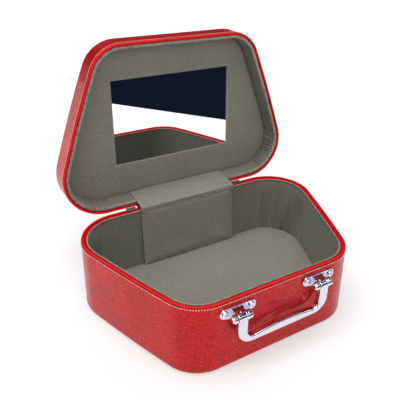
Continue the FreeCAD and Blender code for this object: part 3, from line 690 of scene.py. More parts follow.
@dataclass(frozen=True)
class PlatedMetal:
    """Plated or bare metal: faint polishing marks, and a duller bloom in patches."""

    name: str
    colour: Colour
    bloom: Colour
    gloss: float
    haze: float
    scratch: float = 0.5 * MM
    depth: float = 0.002 * MM

    def paint(self, tree: ShaderTree) -> None:
        """Long thin noise for the polishing marks, and large soft noise for the bloom."""
        place = tree.place()
        marks = tree.noise(tree.stretched(place, (0.12, 1.0, 1.0)), self.scratch, 4.0)
        patches = tree.noise(place, 7.0 * MM, 3.0)
        share = tree.step(patches, 0.45, 0.8)
        tree.shade(
            Base_Color=tree.mix(share * 0.6, self.colour, self.bloom),
            Metallic=1.0,
            Roughness=self.gloss + self.haze * (0.5 * share + 0.5 * tree.step(marks, 0.5, 0.8)),
            Normal=tree.bump(marks, self.depth, 0.5),
        )


@dataclass(frozen=True)
class Silvering:
    """Mirror glass, with a breath of dust."""

    name: str = "mirror_silvering"
    silver: Colour = (0.93, 0.94, 0.94)
    dust: Colour = (0.80, 0.81, 0.81)

    def paint(self, tree: ShaderTree) -> None:
        """A clear reflection, with rare soft smears."""
        place = tree.place()
        smears = tree.step(tree.noise(place, 30.0 * MM, 5.0), 0.62, 0.85)
        specks = tree.step(tree.cells(place, 2.4 * MM, "Distance"), 0.03, 0.0)
        tree.shade(
            Base_Color=tree.mix(smears * 0.3 + specks * 0.4, self.silver, self.dust),
            Metallic=1.0,
            Roughness=0.004 + 0.02 * smears,
        )


@dataclass(frozen=True)
class PulpBoard:
    """Grey pulp board: short fibres and darker flecks."""

    name: str = "grey_pulp_board"
    light: Colour = (0.42, 0.40, 0.35)
    dark: Colour = (0.24, 0.225, 0.19)

    def paint(self, tree: ShaderTree) -> None:
        """Stretched noise for fibres, and sparse cells for flecks."""
        place = tree.place()
        fibres = tree.noise(tree.stretched(place, (0.3, 1.0, 1.0)), 0.9 * MM, 5.0)
        flecks = tree.step(tree.channel(tree.cells(place, 1.6 * MM), 0), 0.9, 0.96)
        tree.shade(
            Base_Color=tree.mix(flecks * 0.7 + tree.step(fibres, 0.3, 0.7) * 0.3, self.light, self.dark),
            Roughness=0.9 - 0.06 * fibres,
            Normal=tree.bump(fibres, 0.12 * MM, 0.5),
        )


@dataclass(frozen=True)
class OpenFoam:
    """Thin padding foam with open pores."""

    name: str = "padding_foam"
    body: Colour = (0.66, 0.62, 0.50)
    pore: Colour = (0.34, 0.31, 0.23)

    def paint(self, tree: ShaderTree) -> None:
        """Dark pores at the middles of small cells."""
        pores = tree.cells(tree.place(), 0.9 * MM, "Distance")
        open_part = tree.step(pores, 0.38, 0.16)
        tree.shade(
            Base_Color=tree.mix(open_part, self.body, self.pore),
            Roughness=0.92 + 0.06 * open_part,
            Normal=tree.bump(pores, 0.3 * MM, 0.8),
        )


class FinishKind(Enum):
    """Every finish on the case, each with the record's slot that it belongs to."""

    LEATHER = (GlitterLeather(), "red_glitter_leather")
    # Painted shade: a darker copy of the lining suede, used for the wall lining.
    WALL_SUEDE = (Suede("suede_wall_lining", (0.190, 0.184, 0.154), (0.130, 0.127, 0.106)), "suede_lining")
    # Painted light: a paler copy of the lining suede, used for the stay panel and the hinge flap.
    STAY_SUEDE = (Suede("suede_stay", (0.240, 0.232, 0.192), (0.166, 0.161, 0.134)), "suede_lining")
    FLOOR_SUEDE = (Suede("suede_floor_lining"), "suede_lining")
    # The rolled edge's paler suede is a painted highlight along the lip.
    LIP_SUEDE = (
        Suede("suede_rolled_edge", (0.30, 0.285, 0.25), (0.20, 0.19, 0.165), 0.5 * MM),
        "suede_lining",
    )
    TAPE = (WovenTape(), "zip_tape")
    TEETH = (MouldedNylon(), "zip_teeth")
    THREAD = (Thread(), "red_glitter_leather")
    CHROME = (
        PlatedMetal("polished_chrome", (0.74, 0.75, 0.83), (0.64, 0.65, 0.73), 0.03, 0.05),
        "chrome_hardware",
    )
    ZIP_METAL = (
        PlatedMetal("nickel_zip_metal", (0.62, 0.62, 0.60), (0.42, 0.41, 0.39), 0.16, 0.16),
        "zip_metal",
    )
    STEEL = (
        PlatedMetal("zinc_plated_steel", (0.55, 0.56, 0.58), (0.36, 0.36, 0.37), 0.26, 0.22, depth=0.01 * MM),
        "steel",
    )
    MIRROR = (Silvering(), "mirror")
    BOARD = (PulpBoard(), "greyboard")
    FOAM = (OpenFoam(), "foam")

    def material(self) -> bpy.types.Material:
        """The finish's material, made once."""
        finish = self.value[0]
        if finish.name not in bpy.data.materials:
            tree = ShaderTree(finish.name)
            finish.paint(tree)
            return tree.material
        return bpy.data.materials[finish.name]

    @property
    def slot(self) -> str:
        """The record's material slot."""
        return self.value[1]


def dress_node(node: str, kind: FinishKind) -> None:
    """Give a carried-over node a finish. Its mesh and place stay as they are."""
    data = frame["nodes"][node].data
    if not data.materials:
        data.materials.append(kind.material())
    for slot in frame["nodes"][node].material_slots:
        slot.material = kind.material()
    LOG.info("node %s: %s", node, kind.name.lower())


def dress_piece(piece: bpy.types.Object, kind: FinishKind, stands_for: Sequence[str] = ()) -> None:
    """Give a new piece its finish's material, and hide the nodes that it stands for."""
    piece.data.materials.append(kind.material())
    if stands_for:
        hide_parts(*stands_for)
    LOG.info("piece %s: %d faces, %s", piece.name, len(piece.data.polygons), kind.name.lower())


# ---------------------------------------------------------------- soft parts
@dataclass
class Swelling:
    """Cloth under air pressure, so that a flat pad fills out between the places where it is held."""

    pressure: float = 4.0
    frames: int = 20
    cap: float = 0.8 * MM
    stiffness: float = 12.0

    def run(self, pad: bpy.types.Object, held: Array) -> None:
        """Swell a pad and keep the result in its mesh.

        A point's move m becomes m * cap / (m + cap), so that no point moves further than cap.

        Args:
            pad: a closed mesh.
            held: 1 where the cloth is held fast, 0 where it is free.
        """
        group = pad.vertex_groups.new(name="held")
        group.add([int(v) for v in np.flatnonzero(held)], 1.0, "REPLACE")
        cloth = pad.modifiers.new("swelling", "CLOTH")
        settings = cloth.settings
        settings.use_pressure = True
        settings.uniform_pressure_force = self.pressure
        settings.effector_weights.gravity = 0.0
        settings.tension_stiffness = self.stiffness
        settings.compression_stiffness = self.stiffness
        settings.vertex_group_mass = "held"
        cloth.point_cache.frame_start, cloth.point_cache.frame_end = 1, self.frames
        scene = bpy.context.scene
        for number in range(1, self.frames + 1):
            scene.frame_set(number)
        final = pad.evaluated_get(bpy.context.evaluated_depsgraph_get())
        count = len(pad.data.vertices)
        start, end = np.zeros(count * 3, np.float32), np.zeros(count * 3, np.float32)
        pad.data.vertices.foreach_get("co", start)
        final.data.vertices.foreach_get("co", end)
        move = (end - start).reshape(-1, 3)
        size = np.linalg.norm(move, axis=1, keepdims=True)
        capped = start.reshape(-1, 3) + move * self.cap / (size + self.cap)
        pad.modifiers.remove(cloth)
        pad.vertex_groups.clear()
        pad.data.vertices.foreach_set("co", capped.astype(np.float32).ravel())
        pad.data.update()
        scene.frame_set(1)
        most = float((size * self.cap / (size + self.cap)).max())
        LOG.info("%s swelled by up to %.2f mm", pad.name, most / MM)


def subdivide(piece: bpy.types.Object, levels: int = 1) -> None:
    """Add a subdivision surface with the same levels in both views."""
    modifier = piece.modifiers.new("smooth", "SUBSURF")
    modifier.levels = levels
    modifier.render_levels = levels


def edge_spacing(count: int) -> Array:
    """Values from -1 to 1 that crowd towards both ends: sin of an even angle."""
    return np.sin(np.linspace(-math.pi / 2, math.pi / 2, count))


@dataclass(frozen=True)
class StitchRow:
    """A row of short slanted stitches that lie on a surface."""

    pitch: float = 2.4 * MM
    length: float = 1.7 * MM
    width: float = 0.95 * MM
    proud: float = 0.26 * MM
    slant: float = 0.22

    def grid(self, places: Array, onward: Array, out: Array) -> Array:
        """Points of every stitch: a grain that is fat in the middle and dips in at both ends.

        Round the thread the section is a circle; along it the radius is half the width times
        (1 - t^4)^(1/2), and the middle line sinks by t^2, for t from -1 to 1.

        Args:
            places: middle of each stitch on the surface.
            onward: unit direction of the row at each stitch.
            out: unit outward direction at each stitch.

        Returns:
            Stitches x along x around x 3.
        """
        t = np.linspace(-0.98, 0.98, 5)
        turn = np.linspace(0.0, 2.0 * math.pi, 6, endpoint=False)
        radius = self.width / 2 * np.sqrt(1.0 - t**4)
        forward = np.broadcast_to((self.length / 2 * t)[:, None], (5, 6))
        sideways = radius[:, None] * np.cos(turn)
        raised = radius[:, None] * np.sin(turn) * 0.8 + self.proud - 0.42 * MM * (t**2)[:, None]
        aside = np.cross(out, onward)
        lean = unit(onward + self.slant * aside)
        across = np.cross(out, lean)
        frame_axes = np.stack([lean, across, out], axis=1)
        local = np.stack([forward, sideways, raised], axis=-1)
        return places[:, None, None, :] + np.einsum("abk,skx->sabx", local, frame_axes)

    def piece(self, name: str, places: Array, onward: Array, out: Array) -> bpy.types.Object:
        """All stitches of one row as one mesh of closed grains."""
        grid = self.grid(places, onward, out)
        count, along, around = grid.shape[:3]
        one = grid_quads(along, around, False)
        quads = (one[None] + (np.arange(count) * along * around)[:, None, None]).reshape(-1, 4)
        ends = []
        for k in range(count):
            first = np.arange(around) + k * along * around
            ends += [first, (first + (along - 1) * around)[::-1]]
        places_on = np.meshgrid(np.arange(along), np.arange(around), indexing="ij")
        uv_point = np.stack(places_on, -1).reshape(-1, 2)
        uv = np.tile(uv_point, (count, 1))[quads] * np.array([self.length / along, self.width / 2])
        return mesh_object(name, grid.reshape(-1, 3), quads, uv, ends)


def ribbed_coil(path: Path, inset: float, height: float, half: tuple[float, float], pitch: float) -> Array:
    """Points of a coil of zip teeth.

    An ellipse is carried along the path, and its radius is 1 + 0.15 cos(2 pi s / pitch + angle),
    which winds one ridge round it like the turns of a wire.

    Args:
        path: the case's outline.
        inset: the coil's middle line inside the outline.
        height: the coil's middle line.
        half: half width and half height of the ellipse.
        pitch: distance from ridge to ridge.

    Returns:
        Stations x around x 3.
    """
    turn = np.linspace(0.0, 2.0 * math.pi, 12, endpoint=False)[None, :]
    along = path.along[: len(path.points), None]
    ridge = 1.0 + 0.15 * np.cos(2.0 * math.pi * along / pitch + turn)
    return path.swept(inset + half[0] * ridge * np.cos(turn), height + half[1] * ridge * np.sin(turn))


@dataclass(frozen=True)
class Pleats:
    """Folds where a straight strip of lining is gathered round a corner."""

    pitch: float = 4.3 * MM
    depth: float = 2.8 * MM
    back_reach: float = 48.0 * MM
    front_reach: float = 21.0 * MM
    front_share: float = 0.4

    def gathering(self, outline: Outline, along: Array) -> Array:
        """How strongly the lining is gathered: a bell at each corner, weaker at the front ones."""
        back, front, total = outline.corner_distances()
        folded = np.minimum(along, total - along)
        return bell(folded, back, self.back_reach) + self.front_share * bell(folded, front, self.front_reach)

    def relief(self, outline: Outline, points: Array, along: Array, rise: Array, seed: int) -> Array:
        """How far the lining stands into the case at each point.

        Fine folds are a sharpened cosine of distance along the wall, bent by slow ripples, and a
        coarser set three times as wide grows towards the bottom. Both fade out at the rolled edge.

        Args:
            outline: the outline of the wall.
            points: the lining's points.
            along: distance of each station along the wall.
            rise: 0 at the bottom of the wall and 1 at its rolled edge, per point.
            seed: start of the random draws.

        Returns:
            Distance inwards per point.
        """
        strength = self.gathering(outline, along)[:, None]
        upright = points * np.array([1.0, 1.0, 0.25])
        wander = 1.5 * ripple(upright, 30.0 * MM, seed) + 0.45 * ripple(upright, 11.0 * MM, seed + 1)
        phase = 2.0 * math.pi * along[:, None] / self.pitch + wander
        fine = (0.5 + 0.5 * np.cos(phase)) ** 1.4
        coarse = (0.5 + 0.5 * np.cos(phase / 3.0 + 1.4 * wander)) ** 1.5
        low = 1.0 - rise
        uneven = 0.75 + 0.35 * ripple(upright, 14.0 * MM, seed + 2)
        shape = fine * (0.45 + 0.55 * low) * uneven + 0.6 * coarse * low**1.4
        return self.depth * strength * shape * (1.0 - ease(rise, 0.82, 1.0))


# ---------------------------------------------------------------- rims
@dataclass
class Rim:
    """What base and lid have in common: cover, zip, lining and stitches round one outline."""

    sizes: CaseSizes
    outline: Outline
    body: str
    inset: float
    up: float  # 1 where the rim's pieces lie below the parting plane, -1 where they lie above it
    coil_inset: float = 1.3 * MM
    coil_height: float = 1.35 * MM
    coil_half: tuple[float, float] = (1.02 * MM, 0.84 * MM)
    coil_pitch: float = 1.5 * MM
    tape_inner: float = 5.2 * MM
    stitch_drop: float = 3.6 * MM
    strip_half: float = 57.5 * MM
    stitches: StitchRow = field(default_factory=StitchRow)
    pleats: Pleats = field(default_factory=Pleats)

    def level(self, drop: float) -> float:
        """Height of a point this far behind the parting plane, on the rim's own side of it."""
        return self.sizes.parting - self.up * drop

    def settle(self, points: Array) -> Array:
        """Points where they stand at rest: the lid's are swung open."""
        return points if self.up > 0 else self.sizes.opened(points)

    def tube(self, name: str, grid: Array, path: Path) -> bpy.types.Object:
        """A swept shell, at rest, that rides on the rim's body."""
        piece = tube_object(name, self.settle(grid), path.along, path.closed)
        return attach(piece, self.body)

    def make_coil(self) -> None:
        """The row of teeth, from one metal stop round to the other."""
        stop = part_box("base_zip_stops")[1].x
        path = self.outline.path(self.coil_pitch / 6.0, stop)
        middle = self.level(self.coil_height)
        grid = ribbed_coil(path, self.inset + self.coil_inset, middle, self.coil_half, self.coil_pitch)
        piece = self.tube(f"{self.body}_zip_teeth", grid, path)
        dress_piece(piece, FinishKind.TEETH, [f"{self.body}_zip_coil"])

    def make_tape(self) -> None:
        """The tape: it slopes inwards from under the teeth and turns down behind the lining."""
        path = self.outline.path(2.0 * MM, self.strip_half)
        top, slope, thick, hem = 1.7 * MM, 1.2 * MM, 0.45 * MM, 8.5 * MM
        outer, inner = self.inset + 0.75 * MM, self.inset + self.tape_inner
        section = rounded_section(
            [
                (outer, self.level(top), 0.2 * MM),
                (inner, self.level(top + slope), 0.5 * MM),
                (inner, self.level(hem), 0.2 * MM),
                (inner - thick, self.level(hem), 0.2 * MM),
                (inner - thick, self.level(top + slope + thick), 0.1 * MM),
                (outer, self.level(top + thick), 0.2 * MM),
            ],
            1.0 * MM,
        )
        grid = path.swept(section[:, 0], section[:, 1])
        piece = self.tube(f"{self.body}_woven_tape", grid, path)
        dress_piece(piece, FinishKind.TAPE, [f"{self.body}_zip_tape"])

    def make_stitches(self, name: str, drop: float, face_inset: float, row: StitchRow) -> None:
        """A row of stitches on the cover's face, this far behind the parting plane."""
        path = self.outline.path(row.pitch, self.strip_half + 2.0 * MM)
        places = path.swept(np.array([face_inset]), np.array([self.level(drop)]))[:, 0]
        out = np.concatenate([path.normals, np.zeros((len(path.points), 1))], axis=1)
        onward = np.cross(np.array([0.0, 0.0, 1.0]), out)
        origin = self.settle(np.zeros(3))
        turned_out = self.settle(out) - origin
        turned_on = self.settle(onward) - origin
        piece = row.piece(name, self.settle(places), turned_on, turned_out)
        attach(piece, self.body)
        dress_piece(piece, FinishKind.THREAD)

    def make_lining(
        self, bottom: float, lip_outer: float, lip_radius: float, lip_drop: float, seed: int
    ) -> None:
        """The wall's suede lining, gathered at the corners, with its rolled edge.

        Args:
            bottom: height where the lining meets the floor or the lid's panel.
            lip_outer: inset of the rolled edge's outer side.
            lip_radius: half of the rolled edge's width.
            lip_drop: top of the rolled edge behind the parting plane.
            seed: start of the random draws.
        """
        path = self.outline.path(0.5 * MM)
        face = self.inset + self.sizes.wall
        crown = self.level(lip_drop)
        neck = self.level(lip_drop + 2.2 * lip_radius)
        outer = self.inset + lip_outer
        section = rounded_section(
            [
                (face, bottom, 0.3 * MM),
                (face, neck, 0.25 * MM),
                (face + 0.25 * MM, neck, 0.2 * MM),
                (face + 0.25 * MM, crown, 0.8 * lip_radius),
                (outer, crown, 0.8 * lip_radius, 9.0 * MM),
                (outer, bottom, 0.2 * MM),
            ],
            2.2 * MM,
        )
        inset = np.tile(section[:, 0], (len(path.points), 1))
        height = section[:, 1]
        grid = path.swept(inset, height)
        rise = np.clip((height - bottom) / (neck - bottom), 0.0, 1.0)[None, :]
        inner = (section[:, 0] > face - 0.5 * MM)[None, :] & ((height - neck) * self.up < 0.0)[None, :]
        along = path.along[: len(path.points)]
        relief = self.pleats.relief(self.outline, grid, along, rise, seed)
        soft = 0.10 * MM * ripple(grid, 26.0 * MM, seed + 5) * (1.0 - ease(rise, 0.8, 1.0))
        inset = inset + np.where(inner, relief + soft, 0.0)
        piece = self.tube(f"{self.body}_gathered_lining", path.swept(inset, height), path)
        # The wall lining takes the darker copy of the suede, which is painted shade.
        dress_piece(piece, FinishKind.WALL_SUEDE, [f"{self.body}_side_lining"])
        self.make_lip(outer, face, crown, lip_radius, path)

    def make_lip(self, outer: float, face: float, crown: float, radius: float, path: Path) -> None:
        """The rolled edge's outermost skin, in a paler suede that is a painted highlight along the edge."""
        middle = (outer + face + 0.25 * MM) / 2
        half = (face + 0.25 * MM - outer) / 2 + 0.06 * MM
        turn = np.linspace(0.0, 2.0 * math.pi, 18, endpoint=False)
        across = middle + half * np.cos(turn)
        up = crown - self.up * (0.72 * radius) + self.up * (0.78 * radius) * np.sin(turn)
        grid = path.swept(across, up)
        grid = grid + 0.05 * MM * ripple(grid, 5.0 * MM, 71)[..., None] * normals_of(grid, True)
        step = slice(None, None, 3)
        along = np.append(path.along[:-1][step], path.along[-1])
        coarse = Path(path.points[step], path.normals[step], along, True)
        piece = self.tube(f"{self.body}_rolled_edge", grid[step], coarse)
        # Paler suede here is a painted highlight on the rolled edge.
        dress_piece(piece, FinishKind.LIP_SUEDE)


# ---------------------------------------------------------------- base
@dataclass
class Base(Rim):
    """The deep lower half: cover, zip, gathered lining, floor pad and stay panel."""

    bottom_radius: float = 5.0 * MM
    turn_under: float = 13.0 * MM
    screw_dip: float = 0.30 * MM
    screw_head: float = 3.3 * MM
    screw_spacing: float = 26.8 * MM
    stay_fillet: float = 0.9 * MM

    def build(self) -> None:
        """Make every soft piece of the base."""
        self.make_cover()
        self.make_bottom()
        self.make_stitches("base_seam_stitches", self.stitch_drop, 0.0, self.stitches)
        self.make_tape()
        self.make_coil()
        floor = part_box("base_floor_pad")[0].z
        self.make_lining(floor, 5.4 * MM, 0.6 * MM, 2.1 * MM, 11)
        self.make_floor()
        self.make_stay_panel()

    def cover_relief(self, grid: Array) -> Array:
        """How far the cover stands out: slow waves, a stitch groove, a hem and dips round the screws."""
        x, y, z = grid[..., 0], grid[..., 1], grid[..., 2]
        outside = ease(z, 6.0 * MM, 14.0 * MM)
        waves = 0.07 * MM * ripple(grid, 60.0 * MM, 3) + 0.018 * MM * ripple(grid, 13.0 * MM, 4)
        groove = -0.20 * MM * bell(z, self.level(self.stitch_drop), 0.55 * MM)
        hem = 0.14 * MM * ease(z, self.level(8.6 * MM), self.level(7.8 * MM))
        front = ease(-y, self.sizes.depth / 2 - 6.0 * MM, self.sizes.depth / 2 - 1.0 * MM)
        low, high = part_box("carrying_handle")
        window = bell(x, 0.0, 0.42 * (high.x - low.x)) * bell(z, high.z - 14.0 * MM, 13.0 * MM)
        crumple = 0.42 * MM * ripple(grid * np.array([0.45, 1.0, 1.0]), 9.5 * MM, 5) * window
        dips = np.zeros(x.shape)
        screws_low, screws_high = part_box("bracket_screws")
        screw_z = (screws_low.z + screws_high.z) / 2
        outer = screws_high.x - self.screw_head
        inner = outer - self.screw_spacing
        for screw_x in (-outer, outer, -inner, inner):
            off = np.hypot(x - screw_x, z - screw_z)
            turn = np.arctan2(z - screw_z, x - screw_x)
            dips -= self.screw_dip * np.exp(-((off / (6.5 * MM)) ** 2))
            dips += 0.10 * MM * np.cos(7.0 * turn) * bell(off, 7.2 * MM, 2.2 * MM)
        return (waves + groove + hem) * outside + front * (crumple + dips)

    def make_cover(self) -> None:
        """The side cover: up the wall from its turned-under edge to the stitched seam."""
        path = self.outline.path(1.5 * MM)
        seam, cover = self.level(self.sizes.seam_drop), self.sizes.cover
        section = rounded_section(
            [
                (self.turn_under, 0.0, 0.3 * MM),
                (0.0, 0.0, self.bottom_radius),
                (0.0, seam, 0.5 * MM),
                (1.25 * MM, seam, 0.5 * MM),
                (cover, cover, self.bottom_radius - cover),
                (self.turn_under, cover, 0.3 * MM),
            ],
            1.3 * MM,
        )
        grid = path.swept(section[:, 0], section[:, 1])
        relief = np.where(section[:, 0] < 0.6 * MM, self.cover_relief(grid), 0.0)
        grid = grid + relief[..., None] * normals_of(grid, True)
        dress_piece(self.tube("base_leather_side", grid, path), FinishKind.LEATHER, ["base_side_cover"])

    def make_bottom(self) -> None:
        """The bottom sheet inside the turned-under edge: a flat plate with rounded edges."""
        low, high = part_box("base_bottom_cover")
        y = edge_spacing(34) * (self.sizes.depth / 2 - self.turn_under)
        half = self.outline.half_width(y, self.turn_under + 0.15 * MM)
        x = edge_spacing(46)[:, None] * half[None, :]
        plan = np.stack([x, np.broadcast_to(y, x.shape)], axis=-1)
        upper = np.concatenate([plan, np.full(x.shape, high.z)[..., None]], axis=-1)
        lower = np.concatenate([plan, np.full(x.shape, low.z)[..., None]], axis=-1)
        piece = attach(slab_object("base_leather_bottom", upper, lower), self.body)
        dress_piece(piece, FinishKind.LEATHER, ["base_bottom_cover"])

    def make_floor(self) -> None:
        """The floor pad: foam under suede, swelled between its edges, which curl down to a seam."""
        low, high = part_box("base_floor_pad")
        gap = 0.35 * MM
        y = edge_spacing(40) * (self.sizes.depth / 2 - self.sizes.wall - gap)
        half = self.outline.half_width(y, self.sizes.wall + gap)
        across = edge_spacing(56)
        x = across[:, None] * half[None, :]
        plan = np.stack([x, np.broadcast_to(y, x.shape)], axis=-1)
        border = np.minimum(1.0 - np.abs(across)[:, None], 1.0 - np.abs(edge_spacing(40))[None, :])
        crown = high.z - 1.3 * MM * np.exp(-border / 0.012) - low.z
        upper = np.concatenate([plan, (low.z + crown)[..., None]], axis=-1)
        lower = np.concatenate([plan, np.full(x.shape, low.z)[..., None]], axis=-1)
        upper[..., 2] += 0.10 * MM * ripple(upper, 48.0 * MM, 23) * ease(border, 0.0, 0.1)
        pad = slab_object("base_floor_cushion", upper, lower)
        fast = np.concatenate([np.where(border < 0.004, 1.0, 0.0).ravel(), np.ones(border.size)])
        Swelling(cap=0.7 * MM).run(pad, fast)
        subdivide(pad)
        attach(pad, self.body)
        dress_piece(pad, FinishKind.FLOOR_SUEDE, ["base_floor_pad"])

    def make_stay_panel(self) -> None:
        """The stiff padded panel: it leans, its face is swelled and its wrapped edges are rounded."""
        low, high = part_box("stay_panel")
        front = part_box("stay_bridge")[0].y - self.stay_fillet
        board = high.y - front
        u, v = edge_spacing(60), edge_spacing(40)
        half = np.array([high.x - low.x, high.z - low.z]) / 2
        x = u[:, None] * half[0] * np.ones_like(v)[None, :]
        z = (low.z + high.z) / 2 + v[None, :] * half[1] * np.ones_like(u)[:, None]
        border = np.minimum((1 - np.abs(u))[:, None] * half[0], (1 - np.abs(v))[None, :] * half[1])
        lean = low.y + (z - low.z) / (high.z - low.z) * (front - low.y)
        face = lean + 1.5 * MM * np.exp(-border / (0.9 * MM)) - 0.45 * MM * ease(border, 4.2 * MM, 6.4 * MM)
        upper = np.stack([x, face, z], axis=-1)
        upper[..., 1] += 0.15 * MM * ripple(upper, 27.0 * MM, 31) * ease(border, 0.0, 6.0 * MM)
        lower = np.stack([x, lean + board, z], axis=-1)
        pad = slab_object("stay_panel_cushion", upper, lower)
        fast = np.concatenate([np.where(border < 0.2 * MM, 1.0, 0.0).ravel(), np.ones(border.size)])
        Swelling(cap=0.7 * MM).run(pad, fast)
        subdivide(pad)
        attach(pad, self.body)
        # The stay panel takes the paler copy of the suede, which is painted light.
        dress_piece(pad, FinishKind.STAY_SUEDE, ["stay_panel"])


# ---------------------------------------------------------------- lid
@dataclass
class Lid(Rim):
    """The shallow upper half: cover, padded top, zip, lining, panel and mirror window."""

    top_radius: float = 3.2 * MM
    edge_seam_drop: float = 3.9 * MM
    window_overlap: tuple[float, float] = (2.75 * MM, 2.5 * MM)
    top_half: tuple[float, float] = (110.0 * MM, 86.0 * MM)

    def build(self) -> None:
        """Make every soft piece of the lid."""
        self.make_side()
        self.make_top()
        self.make_stitches("lid_seam_stitches", self.stitch_drop, self.inset, self.stitches)
        edge = self.sizes.lid_top - self.sizes.parting - self.edge_seam_drop
        self.make_stitches("lid_edge_stitches", edge, self.inset, self.stitches)
        self.make_tape()
        self.make_coil()
        self.make_lining(self.panel_face(), 3.3 * MM, 1.6 * MM, 1.7 * MM, 41)
        self.make_panel()

    def panel_face(self) -> float:
        """Height of the inner panel's visible face with the lid shut."""
        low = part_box("lid_inner_panel")[0]
        return float(self.sizes.shut(np.array([[0.0, low.y, low.z]]))[0, 2])

    def make_side(self) -> None:
        """The side band: from the stitched seam over the lid's rounded top edge."""
        path = self.outline.path(1.3 * MM)
        seam, top = self.level(self.sizes.seam_drop), self.sizes.lid_top
        cover, edge = self.sizes.cover, self.inset
        section = rounded_section(
            [
                (edge, seam, 0.5 * MM),
                (edge, top, self.top_radius),
                (edge + 7.0 * MM, top, 0.45 * MM),
                (edge + 7.0 * MM, top - cover, 0.45 * MM),
                (edge + cover, top - cover, self.top_radius - cover),
                (edge + 1.25 * MM, seam, 0.5 * MM),
            ],
            1.3 * MM,
        )
        grid = path.swept(section[:, 0], section[:, 1])
        z = grid[..., 2]
        relief = 0.06 * MM * ripple(grid, 45.0 * MM, 51) + 0.015 * MM * ripple(grid, 12.0 * MM, 52)
        relief -= 0.20 * MM * bell(z, self.level(self.stitch_drop), 0.55 * MM)
        relief -= 0.22 * MM * bell(z, top - self.edge_seam_drop, 0.6 * MM)
        relief = np.where(section[:, 0] < edge + 0.6 * MM, relief, 0.0)
        grid = grid + relief[..., None] * normals_of(grid, True)
        dress_piece(self.tube("lid_leather_side", grid, path), FinishKind.LEATHER, ["lid_side_cover"])

    def make_top(self) -> None:
        """The padded top sheet, which curls down to the seam that holds it to the side band."""
        top = self.sizes.lid_top
        v, u = edge_spacing(44), edge_spacing(60)
        reach = self.inset + 3.7 * MM
        y = v * (self.sizes.depth / 2 - reach)
        x = u[:, None] * self.outline.half_width(y, reach)[None, :]
        half_x, half_y = self.top_half
        border = np.minimum((1 - np.abs(u))[:, None] * half_x, (1 - np.abs(v))[None, :] * half_y)
        crown = top + 0.75 * MM * ease(border, 0.0, 9.0 * MM) + 0.15 * MM
        upper = np.stack([x, np.broadcast_to(y, x.shape), crown], axis=-1)
        upper[..., 2] += 0.10 * MM * ripple(upper, 60.0 * MM, 61) * ease(border, 4.0 * MM, 20.0 * MM)
        upper[..., 2] -= 0.35 * MM * bell(border, 4.0 * MM, 0.9 * MM)
        lower = upper.copy()
        lower[..., 2] = top - self.sizes.cover
        pad = slab_object("lid_leather_top", self.settle(upper), self.settle(lower))
        fast = np.concatenate([np.where(border < 6.0 * MM, 1.0, 0.0).ravel(), np.ones(border.size)])
        Swelling(cap=0.9 * MM).run(pad, fast)
        subdivide(pad)
        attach(pad, self.body)
        dress_piece(pad, FinishKind.LEATHER, ["lid_top_cover"])

    def make_panel(self) -> None:
        """The suede panel: a ruled surface from the mirror's window out to the lining, and back behind.

        Each station's outer point lies on the lid's outline and its inner point on the window's
        rectangle in the same direction from the middle. The section between them has round edges.
        """
        path = self.outline.path(1.2 * MM)
        face = self.panel_face()
        thick = 1.2 * MM
        glass_low, glass_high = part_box("mirror_glass")
        glass = np.array([glass_high.x - glass_low.x, glass_high.z - glass_low.z])
        half = glass / 2 - np.array(self.window_overlap)
        middle_y = self.sizes.shut(np.array([[0.0, glass_low.y, (glass_low.z + glass_high.z) / 2]]))[0, 1]
        outer = path.points - (self.inset + self.sizes.wall + 0.3 * MM) * path.normals
        ray = outer - np.array([0.0, middle_y])
        inner = ray * (half / np.maximum(np.abs(ray), 1e-9)).min(axis=1, keepdims=True)
        for corner in ((1, 1), (1, -1), (-1, 1), (-1, -1)):
            target = half * np.array(corner)
            inner[np.linalg.norm(inner - target, axis=1).argmin()] = target
        inner = inner + np.array([0.0, middle_y])
        t = np.concatenate([[0.0], np.linspace(0.0, 1.0, 26), [1.0]])
        edge_in, edge_out = 0.5 * MM, 0.9 * MM
        plan = inner[:, None, :] + (outer - inner)[:, None, :] * t[None, :, None]
        span = np.linalg.norm(outer - inner, axis=1)[:, None]
        off_in, off_out = t[None, :] * span, (1.0 - t)[None, :] * span
        curl = edge_in * np.exp(-off_in / (0.5 * MM)) + edge_out * np.exp(-off_out / (0.9 * MM))
        front = np.concatenate([plan, (face + curl)[..., None]], axis=-1)
        inland = ease(off_in, 0.0, 5.0 * MM) * ease(off_out, 0.0, 5.0 * MM)
        front[..., 2] += 0.08 * MM * ripple(front, 35.0 * MM, 81) * inland
        behind = front[:, ::-1].copy()
        behind[..., 2] = face + thick
        grid = np.concatenate([front, behind], axis=1)
        dress_piece(self.tube("lid_suede_panel", grid, path), FinishKind.FLOOR_SUEDE, ["lid_inner_panel"])


